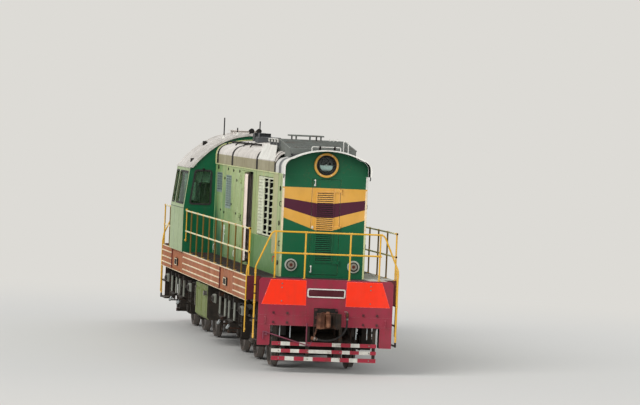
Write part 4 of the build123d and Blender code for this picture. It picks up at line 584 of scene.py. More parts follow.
# Shapes
class Shape:
    """Closed forms gathered into one mesh, each with the number of its finish."""

    def __init__(self):
        self.mesh = bmesh.new()
        self.turn = Matrix()

    def face_end(self, end):
        """Turns what follows to the front end for 1 or the rear end for -1."""
        self.turn = Matrix.Rotation(0 if end > 0 else pi, 4, "Z")
        return self

    def loft(self, rings, finish=0, loop=False):
        """Skin over rings of points; its ends are closed unless it runs in a loop."""
        made = [[self.mesh.verts.new(self.turn @ Vector(point)) for point in ring] for ring in rings]
        count = len(made[0])
        faces = []
        for low, high in zip(made, made[1:] + made[:1] if loop else made[1:]):
            for i in range(count):
                j = (i + 1) % count
                faces.append(self.mesh.faces.new((low[i], low[j], high[j], high[i])))
        if not loop:
            faces.append(self.mesh.faces.new(made[0][::-1]))
            faces.append(self.mesh.faces.new(made[-1]))
        for face in faces:
            face.material_index = finish

    def block(self, x, y, z, finish=0, ease=0.004):
        """Block with eased edges and corners."""
        (a, b), (c, d), (low, high) = sorted(x), sorted(y), sorted(z)
        e = min(ease, 0.3 * (b - a), 0.3 * (d - c), 0.3 * (high - low))
        rings = []
        for height, inset in ((low, e), (low + e, 0), (high - e, 0), (high, e)):
            l, r, n, f = a + inset, b - inset, c + inset, d - inset
            rings.append([(l + e, n, height), (r - e, n, height), (r, n + e, height), (r, f - e, height),
                          (r - e, f, height), (l + e, f, height), (l, f - e, height), (l, n + e, height)])
        self.loft(rings, finish)

    def turned(self, origin, axis, profile, finish=0, sides=20):
        """Form turned about an axis, from pairs of distance along it and radius."""
        axis = Vector(axis).normalized()
        side = axis.orthogonal().normalized()
        up = axis.cross(side)
        rings = []
        for along, radius in profile:
            ring = []
            for index in range(sides):
                angle = 2 * pi * index / sides
                ring.append(Vector(origin) + axis * along + (side * cos(angle) + up * sin(angle)) * radius)
            rings.append(ring)
        self.loft(rings, finish)

    def rod(self, start, end, radius, finish=0, sides=14):
        """Round bar with eased ends."""
        run = Vector(end) - Vector(start)
        e = min(0.004, 0.3 * radius, 0.2 * run.length)
        profile = ((0, radius - e), (e, radius), (run.length - e, radius), (run.length, radius - e))
        self.turned(start, run, profile, finish, sides)

    def tube(self, points, radius, finish=0, bend=0.03, sides=10, loop=False):
        """Round bar bent along a path."""
        path = eased(points, bend, loop)
        side = None
        rings = []
        for index, point in enumerate(path):
            before = path[index - 1] if index or loop else point
            after = path[(index + 1) % len(path)] if index < len(path) - 1 or loop else point
            run = (after - before).normalized()
            side = run.orthogonal() if side is None else side - run * side.dot(run)
            side.normalize()
            up = run.cross(side)
            ring = []
            for step in range(sides):
                angle = 2 * pi * step / sides
                ring.append(point + (side * cos(angle) + up * sin(angle)) * radius)
            rings.append(ring)
        self.loft(rings, finish, loop)

    def strip(self, path, outward, width, low, high, finish=0, loop=False):
        """Flat strip along a path; outward is one direction or one for each point."""
        path = [Vector(point) for point in path]
        rings = []
        for index, point in enumerate(path):
            before = path[index - 1] if index or loop else point
            after = path[(index + 1) % len(path)] if index < len(path) - 1 or loop else point
            out = Vector(outward[index] if isinstance(outward, list) else outward).normalized()
            side = (after - before).normalized().cross(out).normalized() * (width / 2)
            rings.append([point - side + out * low, point + side + out * low,
                          point + side + out * high, point - side + out * high])
        self.loft(rings, finish, loop)

    def rim(self, corners, bend, out, width, low, high, finish=0):
        """Strip round a closed outline, its corners rounded."""
        self.strip(eased(corners, bend, loop=True), out, width, low, high, finish, True)

    def arch(self, profile, x, low, high, finish=0):
        """Band across a roof, between two heights above its outside."""
        outward = []
        for index in range(len(profile)):
            before = profile[max(0, index - 1)]
            after = profile[min(len(profile) - 1, index + 1)]
            outward.append((0, before[1] - after[1], after[0] - before[0]))
        path = [((x[0] + x[1]) / 2, y, z) for y, z in profile]
        self.strip(path, outward, x[1] - x[0], low, high, finish)

    def panel(self, outline, out, finish=0, ease=0.002):
        """Raised plate on a flat outline, its edge eased; out is its thickness as a vector."""
        ring = [Vector(point) for point in outline]
        out = Vector(out)
        middle = sum(ring, Vector()) / len(ring)
        inner = [point + (middle - point).normalized() * ease + out for point in ring]
        self.loft([ring, [point + out * 0.6 for point in ring], inner], finish)

    def handle(self, start, end, out, radius=0.008, finish=0):
        """Grab handle that stands out from a surface between two points."""
        start, end, out = Vector(start), Vector(end), Vector(out)
        self.tube((start, start + out, end + out, end), radius, finish, 0.5 * out.length)
        for foot in (start, end):
            self.turned(foot, out, ((0, 2.2 * radius), (0.004, 2.2 * radius), (0.006, 1.6 * radius)), finish, 12)

    def latch(self, centre, out, size=0.03, finish=0):
        """Budget lock: a round plate with a turned stem and a wing."""
        centre, out = Vector(centre), Vector(out).normalized()
        profile = ((0, size), (0.004, size), (0.006, 0.8 * size), (0.006, 0.4 * size), (0.02, 0.35 * size))
        self.turned(centre, out, profile, finish, 14)
        across = Vector((0, 0, 1)) * (1.3 * size)
        tip = centre + out * 0.018
        self.tube((tip - across, tip + across), 0.2 * size, finish, 0, 8)


def dress(mesh, name, body, finishes, merge=True):
    """Finishes a mesh: doubles merged, faces outward, sharp edges kept, and lets it ride on its body."""
    bm = bmesh.new()
    bm.from_mesh(mesh)
    if merge:
        bmesh.ops.remove_doubles(bm, verts=bm.verts, dist=0.00002)
    bmesh.ops.recalc_face_normals(bm, faces=bm.faces)
    for face in bm.faces:
        face.smooth = True
    for edge in bm.edges:
        edge.smooth = len(edge.link_faces) == 2 and edge.calc_face_angle(0) < 0.6
    mesh.materials.clear()
    bm.to_mesh(mesh)
    bm.free()
    mesh.name = name
    for item in finishes:
        mesh.materials.append(finish(item))
    piece = bpy.data.objects.new(name, mesh)
    bpy.context.scene.collection.objects.link(piece)
    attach(piece, body)
    return piece


def place(shape, name, slot, *finishes, body="locomotive"):
    """Turns a shape into a finished piece that rides on a body."""
    mesh = bpy.data.meshes.new(name)
    shape.mesh.to_mesh(mesh)
    shape.mesh.free()
    return dress(mesh, name, body, finishes)


# Repeated pieces, grown with Geometry Nodes on points that carry a turn
def start_tree(name, sizes):
    """Geometry Nodes tree with an input for its points, its finish and each size."""
    tree = bpy.data.node_groups.new(name, "GeometryNodeTree")
    tree.interface.new_socket("Points", in_out="INPUT", socket_type="NodeSocketGeometry")
    tree.interface.new_socket("Finish", in_out="INPUT", socket_type="NodeSocketMaterial")
    for size in sizes:
        tree.interface.new_socket(size, in_out="INPUT", socket_type="NodeSocketFloat")
    tree.interface.new_socket("Geometry", in_out="OUTPUT", socket_type="NodeSocketGeometry")
    return tree, add(tree, "NodeGroupInput").outputs


def end_tree(tree, given, shape):
    """Puts the shape on every point, turned as the point says, and makes it real."""
    turn = add(tree, "GeometryNodeInputNamedAttribute", {"Name": "turn"}, data_type="FLOAT_VECTOR")
    rotation = add(tree, "FunctionNodeEulerToRotation", {0: turn})
    placed = add(tree, "GeometryNodeInstanceOnPoints", {"Points": given["Points"], "Instance": shape,
                                                        "Rotation": rotation})
    real = add(tree, "GeometryNodeRealizeInstances", {"Geometry": placed})
    painted = add(tree, "GeometryNodeSetMaterial", {"Geometry": real, "Material": given["Finish"]})
    add(tree, "NodeGroupOutput", {"Geometry": painted})
    return tree


def bolt_tree():
    """Hexagon bolt head on a washer, standing along Z."""
    tree, given = start_tree("bolt_head", ("Width", "Height"))
    half = add(tree, MATH, {0: given["Width"], 1: 0.5}, operation="MULTIPLY")
    head = add(tree, "GeometryNodeMeshCylinder", {"Vertices": 6, "Radius": half, "Depth": given["Height"]})
    lift = add(tree, MATH, {0: given["Height"], 1: 0.6}, operation="MULTIPLY")
    raised = add(tree, "ShaderNodeCombineXYZ", {"Z": lift})
    head = add(tree, "GeometryNodeTransform", {"Geometry": head, "Translation": raised})
    wide = add(tree, MATH, {0: given["Width"], 1: 0.62}, operation="MULTIPLY")
    thin = add(tree, MATH, {0: given["Height"], 1: 0.25}, operation="MULTIPLY")
    washer = add(tree, "GeometryNodeMeshCylinder", {"Vertices": 12, "Radius": wide, "Depth": thin})
    return end_tree(tree, given, add(tree, "GeometryNodeJoinGeometry", {0: [head, washer]}))


def slat_tree():
    """Pressed slat or bar: long along X, its section dished across Y."""
    tree, given = start_tree("slat", ("Length", "Width", "Thickness", "Dish"))
    size = add(tree, "ShaderNodeCombineXYZ", {"X": given["Length"], "Y": given["Width"], "Z": given["Thickness"]})
    bar = add(tree, "GeometryNodeMeshCube", {"Size": size, "Vertices X": 2, "Vertices Y": 4, "Vertices Z": 2})
    place_of = add(tree, "ShaderNodeSeparateXYZ", {0: add(tree, "GeometryNodeInputPosition")})
    share = add(tree, MATH, {0: place_of.outputs["Y"], 1: given["Width"]}, operation="DIVIDE")
    square = add(tree, MATH, {0: share, 1: share}, operation="MULTIPLY")
    drop = add(tree, MATH, {0: square, 1: given["Dish"]}, operation="MULTIPLY")
    offset = add(tree, "ShaderNodeCombineXYZ", {"Z": drop})
    return end_tree(tree, given, add(tree, "GeometryNodeSetPosition", {"Geometry": bar, "Offset": offset}))


def spring_tree():
    """Coil spring of round wire, standing along Z."""
    tree, given = start_tree("coil_spring", ("Height", "Radius", "Wire"))
    coil = add(tree, "GeometryNodeCurveSpiral", {"Resolution": 14, "Rotations": 5.0, "Start Radius": given["Radius"],
                                                 "End Radius": given["Radius"], "Height": given["Height"]})
    wire = add(tree, "GeometryNodeCurvePrimitiveCircle", {"Resolution": 6, "Radius": given["Wire"]})
    return end_tree(tree, given, add(tree, "GeometryNodeCurveToMesh", {"Curve": coil, "Profile Curve": wire,
                                                                      "Fill Caps": True}))


def link_tree():
    """Oval chain link, long along X."""
    tree, given = start_tree("chain_link", ("Length", "Wire"))
    radius = add(tree, MATH, {0: given["Length"], 1: 0.5}, operation="MULTIPLY")
    round_link = add(tree, "GeometryNodeCurvePrimitiveCircle", {"Resolution": 14, "Radius": radius})
    oval = add(tree, "GeometryNodeTransform", {"Geometry": round_link, "Scale": (1.0, 0.6, 1.0)})
    wire = add(tree, "GeometryNodeCurvePrimitiveCircle", {"Resolution": 6, "Radius": given["Wire"]})
    return end_tree(tree, given, add(tree, "GeometryNodeCurveToMesh", {"Curve": oval, "Profile Curve": wire}))


def collar_tree():
    """Short sleeve with a rim at each end, along Z."""
    tree, given = start_tree("collar", ("Radius", "Length"))
    sleeve = add(tree, "GeometryNodeMeshCylinder", {"Vertices": 14, "Radius": given["Radius"],
                                                    "Depth": given["Length"]})
    wide = add(tree, MATH, {0: given["Radius"], 1: 1.18}, operation="MULTIPLY")
    short = add(tree, MATH, {0: given["Length"], 1: 0.16}, operation="MULTIPLY")
    rim = add(tree, "GeometryNodeMeshCylinder", {"Vertices": 14, "Radius": wide, "Depth": short})
    shift = add(tree, MATH, {0: given["Length"], 1: 0.42}, operation="MULTIPLY")
    above = add(tree, "ShaderNodeCombineXYZ", {"Z": shift})
    below = add(tree, "ShaderNodeCombineXYZ", {"Z": add(tree, MATH, {0: shift, 1: -1.0}, operation="MULTIPLY")})
    rims = [add(tree, "GeometryNodeTransform", {"Geometry": rim, "Translation": move}) for move in (above, below)]
    return end_tree(tree, given, add(tree, "GeometryNodeJoinGeometry", {0: [sleeve] + rims}))


TREES = {}


def grow(maker, points, name, slot, finish_name, body="locomotive", **sizes):
    """Runs a tree on (place, turn) pairs and keeps the result as one plain piece."""
    if maker not in TREES:
        TREES[maker] = maker()
    tree = TREES[maker]
    mesh = bpy.data.meshes.new(name + "_points")
    mesh.from_pydata([Vector(point) for point, turn in points], [], [])
    turns = mesh.attributes.new("turn", "FLOAT_VECTOR", "POINT")
    turns.data.foreach_set("vector", [value for point, turn in points for value in turn])
    holder = bpy.data.objects.new(name + "_points", mesh)
    bpy.context.scene.collection.objects.link(holder)
    modifier = holder.modifiers.new("grow", "NODES")
    modifier.node_group = tree
    values = dict({key.replace("_", " ").title(): value for key, value in sizes.items()}, Finish=finish(finish_name))
    for item in tree.interface.items_tree:
        if item.in_out == "INPUT" and item.name in values:
            modifier[item.identifier] = values[item.name]
    grown = bpy.data.meshes.new_from_object(holder.evaluated_get(bpy.context.evaluated_depsgraph_get()))
    holder.modifiers.remove(modifier)
    bpy.data.objects.remove(holder)
    return dress(grown, name, body, [finish_name])


def grid(xs, ys, zs, turn=(0, 0, 0)):
    """Points where the given places cross, all turned alike."""
    return [((x, y, z), turn) for x in xs for y in ys for z in zs]


def facing(direction):
    """Turn that points Z along a direction."""
    return tuple(Vector(direction).to_track_quat("Z", "Y").to_euler())


# Settings shown in the panel
def colour_setting(name, description, value):
    """A colour for the panel, from its sRGB hex value."""
    return FloatVectorProperty(name=name, description=description, subtype="COLOR", size=3, default=linear(value)[:3])


class PaintSettings(bpy.types.PropertyGroup):
    nose_green: colour_setting("Nose green", "Deep green of the nose and the cab's ends", "#005634")
    ochre: colour_setting("Ochre", "Ochre of the nose stripes", "#d29a35")
    maroon: colour_setting("Maroon", "Maroon between the ochre stripes", "#48142a")
    beam_crimson: colour_setting("Beam crimson", "Crimson of the buffer beams", "#8e2338")
    signal_orange: colour_setting("Signal orange", "Orange-red of the beams' side panels", "#f52f08")
    rail_yellow: colour_setting("Rail yellow", "Yellow of the handrails", "#d8a425")
    tank_olive: colour_setting("Tank olive", "Olive of the fuel tank", "#66752f")


class FittingSettings(bpy.types.PropertyGroup):
    bolt_width: FloatProperty(name="Bolt width", description="Across the corners of a large bolt head",
                              default=0.045, min=0.01, unit="LENGTH")
    slat_pitch: FloatProperty(name="Slat pitch", description="From one nose slat to the next", default=0.0397,
                              min=0.01, unit="LENGTH")
    spring_wire: FloatProperty(name="Spring wire", description="Radius of the coil springs' wire", default=0.014,
                               min=0.004, unit="LENGTH")
    grating_bars: IntProperty(name="Grating bars", description="Bars on each step tread", default=7, min=2)


class StageSettings(bpy.types.PropertyGroup):
    lens: FloatProperty(name="Lens", description="Focal length of the camera", default=203.25, min=10, unit="CAMERA")
    key_strength: FloatProperty(name="Key light", description="Strength of the main soft light", default=1.9, min=0.0)
    floor_colour: colour_setting("Floor", "Colour of the floor and backdrop", "#dddbd6")


class LOCO_OT_paint(bpy.types.Operator):
    """Paints every CAD node with its own finish"""
    bl_idname = "loco.paint"
    bl_label = "Paint the locomotive"

    def execute(self, context):
        for node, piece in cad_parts.items():
            piece.data.materials.clear()
            piece.data.materials.append(finish(finish_of(node)))
        return {"FINISHED"}


class LOCO_OT_beam_trim(bpy.types.Operator):
    """Orange panels, blank number plates and weld seams on the buffer beams"""
    bl_idname = "loco.beam_trim"
    bl_label = "Buffer beam trim"

    def execute(self, context):
        panels, plates, seams, bars = Shape(), Shape(), Shape(), Shape()
        for end in ENDS:
            for shape in (panels, plates, seams):
                shape.face_end(end)
            for side in (-1, 1):
                corners = ((1.131, 1.858), (1.304, 1.355), (0.401, 1.355), (0.41, 1.858))
                outline = [(BEAM_X, side * y, z) for y, z in corners]
                panels.panel(eased(outline, 0.015, loop=True), (0.004, 0, 0))
            face = BEAM_X + 0.008
            corners = rectangle(face, (-0.388, 0.388), (1.516, 1.703))
            plates.panel(eased(corners, 0.03, loop=True), (0.003, 0, 0))
            inner = [(face + 0.003, y * 0.96, 1.6095 + (z - 1.6095) * 0.84) for _, y, z in corners]
            plates.rim(inner, 0.025, (1, 0, 0), 0.022, 0, 0.004, 1)
            for z in (1.148, 0.955):
                seams.tube(((BEAM_X, -1.34, z), (BEAM_X, -0.24, z)), 0.004, 0, 0, 8)
                seams.tube(((BEAM_X, 0.24, z), (BEAM_X, 1.34, z)), 0.004, 0, 0, 8)
            for y in (-0.392, 0.392):
                seams.tube(((BEAM_X, y, 0.95), (BEAM_X, y, 1.345)), 0.004, 0, 0, 8)
            seams.tube(((BEAM_X, -1.27, 1.878), (BEAM_X, 1.27, 1.878)), 0.005, 0, 0, 8)
            for side in (-1, 1):
                pocket = eased([(BEAM_X, side * 1.118, 0.95), (BEAM_X, side * 1.118, 0.56)], 0)
                seams.strip(pocket, (1, 0, 0), 0.016, 0, 0.006)
                seams.handle((BEAM_X, side * 1.215, 0.98), (BEAM_X, side * 1.215, 1.10), (0.035, 0, 0), 0.008)
            for y in (-0.9, -0.69, 0.65, 0.87):
                bars.face_end(end).rod((7.93, y, 0.70), (7.93, y, 0.95), 0.01)
            bars.tube(((7.94, -0.35, 0.55), (7.94, -0.35, 0.95)), 0.022, 1, 0, 12)
        place(bars, "beam_hangers", "step_paint", "damper", "sill_end")
        place(panels, "warning_panels", "beam_paint", "orange")
        place(plates, "number_plates", "beam_paint", "plate_red", "white")
        place(seams, "beam_seams", "beam_paint", "crimson")
        return {"FINISHED"}


class LOCO_OT_bolts(bpy.types.Operator):
    """Bolt heads on the beams, pads, plates and axle boxes"""
    bl_idname = "loco.bolts"
    bl_label = "Bolts"

    def execute(self, context):
        size = context.scene.loco_fittings.bolt_width
        large, small, pads = [], [], []
        for end in ENDS:
            out = facing((end, 0, 0))
            large += grid([end * BEAM_X], (-1.05, -0.77, 0.77, 1.05), (1.193, 1.003), out)
            large += grid([end * (BEAM_X + 0.095)], (-0.205, 0.205), (0.97, 1.125, 1.28), out)
            small += grid([end * (BEAM_X + 0.011)], (-0.35, 0.35), (1.55, 1.67), out)
            small += grid([end * (BEAM_X - 0.01)], (-0.915, -0.33, 0.33, 0.915), (0.58, 0.437, 0.284), out)
            small += grid([end * (BEAM_X + 0.004)], (-0.9, 0.9), (1.43, 1.70, 1.78), out)
        along = [x + dx for x in (-PIVOT_X, PIVOT_X) for dx in (-1.0, -0.65, -0.3, 0.3, 0.65, 1.0)]
        for side in (-1, 1):
            pads += grid(along, [side * SILL_FACE], (1.42, 1.84), facing((0, side, 0)))
        # The beam bolts take a darker crimson as painted shade
        grow(bolt_tree, large, "beam_bolts", "beam_paint", "crimson_painted_shade", width=size, height=0.026)
        grow(bolt_tree, small, "plate_bolts", "beam_paint", "steel", width=0.5 * size, height=0.012)
        grow(bolt_tree, pads, "pad_bolts", "sill_paint", "sill", width=0.7 * size, height=0.018)
        for body, centre in BOGIES:
            heads = []
            for side in (-1, 1):
                out = facing((0, side, 0))
                for x in (centre - AXLE_STEP, centre, centre + AXLE_STEP):
                    for angle in [pi / 6 + step * pi / 3 for step in range(6)]:
                        heads.append(((x + 0.1 * cos(angle), side * 1.24, AXLE_Z + 0.1 * sin(angle)), out))
                    heads += grid((x - 0.18, x + 0.18), [side * 1.2], (AXLE_Z - 0.1, AXLE_Z + 0.11), out)
            grow(bolt_tree, heads, f"{body}_box_bolts", "black_paint", "black", body=body, width=0.034, height=0.016)
        return {"FINISHED"}


class LOCO_OT_coupler_trim(bpy.types.Operator):
    """Knuckle, cast ribs, lever chain and hose clamps"""
    bl_idname = "loco.coupler_trim"
    bl_label = "Coupler trim"

    def execute(self, context):
        cast, clamps = Shape(), Shape()
        links = []
        for end in ENDS:
            cast.face_end(end)
            clamps.face_end(end)
            knuckle = ((8.45, -0.05), (8.45, 0.02), (8.50, 0.055), (8.545, 0.03), (8.55, -0.02), (8.51, -0.07))
            cast.loft([[(x, y, z) for x, y in knuckle] for z in (0.965, 0.975, 1.19, 1.20)], 0)
            for z in (1.233, 0.921):
                rib = ((8.18, -0.07), (8.40, -0.15), (8.56, -0.20), (8.56, -0.17), (8.40, -0.11), (8.20, -0.03))
                cast.loft([[(x, y, z) for x, y in rib], [(x, y, z + 0.012) for x, y in rib]], 0)
            cast.turned((8.33, 0.0, 1.233), (0, 0, 1), ((0, 0.045), (0.02, 0.045), (0.028, 0.03), (0.028, 0)), 0)
            cast.block((8.10, 8.17), (-0.13, 0.13), (1.17, 1.22), 0, 0.01)
            cast.turned((8.25, -0.118, 1.05), (0, -1, 0), ((0, 0.03), (0.05, 0.03), (0.056, 0.02), (0.056, 0)), 0)
            for y, z, run in ((0.42, 1.13, (0, 0, -1)), (-0.165, 0.694, (0, -1, 0.2))):
                profile = ((0, 0.0203), (0.002, 0.027), (0.034, 0.027), (0.036, 0.0203))
                clamps.turned((8.15, y, z), run, profile, 0, 16)
            clamps.turned((8.15, -0.21, 0.705), (0, -1, 0.25), ((0, 0.042), (0.03, 0.042), (0.036, 0.037)), 0, 18)
            clamps.tube(((8.15, 0.42, 1.236), (8.15, 0.42, 1.262), (8.15, 0.36, 1.262)), 0.008, 0, 0.01)
            start, stop = Vector((8.036, -0.303, 0.562)), Vector((8.22, -0.172, 1.045))
            count = 15
            for index in range(count):
                t = (index + 0.5) / count
                point = start.lerp(stop, t) + Vector((0.03, 0, -0.05)) * (4 * t * (1 - t))
                slope = (stop - start) + Vector((0.03, 0, -0.05)) * (4 - 8 * t)
                turn = slope.to_track_quat("X", "Z").to_matrix() @ Matrix.Rotation(index % 2 * pi / 2, 3, "X")
                spin = Matrix.Rotation(0 if end > 0 else pi, 3, "Z")
                links.append((spin @ point, tuple((spin @ turn).to_euler())))
        place(cast, "coupler_castings", "cast_steel", "cast")
        place(clamps, "hose_clamps", "cast_steel", "steel")
        grow(link_tree, links, "lever_chains", "cast_steel", "cast", length=0.05, wire=0.0045)
        return {"FINISHED"}


class LOCO_OT_nose_trim(bpy.types.Operator):
    """Nose slats, gutter lip, corner strips and lamps"""
    bl_idname = "loco.nose_trim"
    bl_label = "Nose trim"

    def execute(self, context):
        pitch = context.scene.loco_fittings.slat_pitch
        low, high = 2.198, 3.628
        count = int((high - low) / pitch)
        turn = tuple((Matrix.Rotation(pi / 2, 3, "Z") @ Matrix.Rotation(radians(52), 3, "X")).to_euler())
        slats = [((NOSE_X + 0.010, 0.01, low + (i + 0.5) * pitch), turn) for i in range(count)]
        grow(slat_tree, slats, "nose_slats", "deep_green", "nose", body="nose_door", length=0.325, width=0.027,
             thickness=0.003, dish=0.02)
        trim = Shape()
        trim.rim(rectangle(NOSE_X, (-0.165, 0.185), (low, high)), 0.01, (1, 0, 0), 0.022, 0, 0.018)
        trim.rim(rectangle(NOSE_X, (-0.25, 0.30), (1.965, 3.86)), 0.02, (1, 0, 0), 0.016, 0, 0.005)
        place(trim, "nose_door_frame", "deep_green", "nose", body="nose_door")
        handles = Shape()
        handles.handle((NOSE_X, -0.211, 3.75), (NOSE_X, -0.211, 3.85), (0.035, 0, 0), 0.009)
        handles.handle((NOSE_X, -0.231, 2.0), (NOSE_X, -0.231, 2.11), (0.035, 0, 0), 0.009)
        handles.latch((NOSE_X, -0.232, 2.9), (1, 0, 0), 0.026)
        place(handles, "nose_door_handles", "deep_green", "white", body="nose_door")
        visor, strips = Shape(), Shape()
        brow = roof_profile(*NOSE_ROOF)
        visor.arch(brow, (NOSE_X - 0.02, 7.56), 0.012, 0.026, 0)
        # The visor's underside is painted black as the shade beneath it
        visor.arch(brow, (NOSE_X + 0.001, 7.56), 0.004, 0.012, 1)
        visor.arch(brow, (7.56, 7.575), 0.004, 0.030, 0)
        for side in (-1, 1):
            hook = ((7.5, 0.02), (7.5, -0.05), (7.45, -0.07))
            visor.tube([(x, side * (HOOD_Y + 0.018), EAVE_Z + z) for x, z in hook], 0.01, 1)
            x, y = NOSE_X, side * HOOD_Y
            # Corner strips carry the nose's paint round the corner, painted lighter as highlights: white at the top,
            # cream in the middle and pale green low down
            for low_z, high_z, colour in ((DECK_Z, 2.80, 2), (2.80, 3.67, 1), (3.70, EAVE_Z, 0)):
                strips.block((x - 0.04, x + 0.004), (y, y + side * 0.004), (low_z, high_z), colour, 0.001)
                strips.block((x, x + 0.004), (y - side * 0.035, y + side * 0.004), (low_z, high_z), colour, 0.001)
            strips.face_end(-1).block((x - 0.04, x + 0.004), (y, y + side * 0.004), (DECK_Z, 2.58), 2, 0.001)
            strips.face_end(1)
        place(visor, "nose_visor", "roof_grey", "white", "soot")
        place(strips, "hood_corner_strips", "lamp_ochre", "white", "cream", "lime")
        glass, rims = Shape(), Shape()
        for end, (reach, z) in ((1, NOSE_LAMP), (-1, REAR_LAMP)):
            glass.face_end(end)
            rims.face_end(end)
            lens = [(0.034, 0), (0.034, reach - 0.052), (0.038, reach - 0.05), (0.042, reach - 0.06),
                    (0.052, 0.4 * reach), (0.055, 0)]
            glass.turned((NOSE_X, 0, z), (1, 0, 0), lens, 0, 32)
            rims.turned((NOSE_X + 0.012, 0, z), (1, 0, 0), ((0, 0), (0, 0.02), (0.015, 0.018), (0.02, 0)), 0, 16)
            for step in range(6):
                angle = step * pi / 3
                foot = (NOSE_X + 0.058, (reach - 0.025) * cos(angle), z + (reach - 0.025) * sin(angle))
                rims.turned(foot, (1, 0, 0), ((0, 0.009), (0.006, 0.009), (0.008, 0.006)), 0, 6)
            for y in (-MARKER_Y, MARKER_Y):
                rims.turned((NOSE_X + 0.035, y, MARKER_Z), (1, 0, 0),
                            ((0, 0.078), (0, 0.092), (0.006, 0.094), (0.012, 0.09), (0.012, 0.08)), 1, 28)
                rims.turned((NOSE_X + 0.015, y, MARKER_Z), (1, 0, 0),
                            ((0, 0.12), (0.002, 0.126), (0.01, 0.126), (0.012, 0.12)), 2, 28)
        place(glass, "headlight_lenses", "window_glass", "lens")
        place(rims, "lamp_rims", "lamp_ochre", "silver", "soot", "damper")
        return {"FINISHED"}


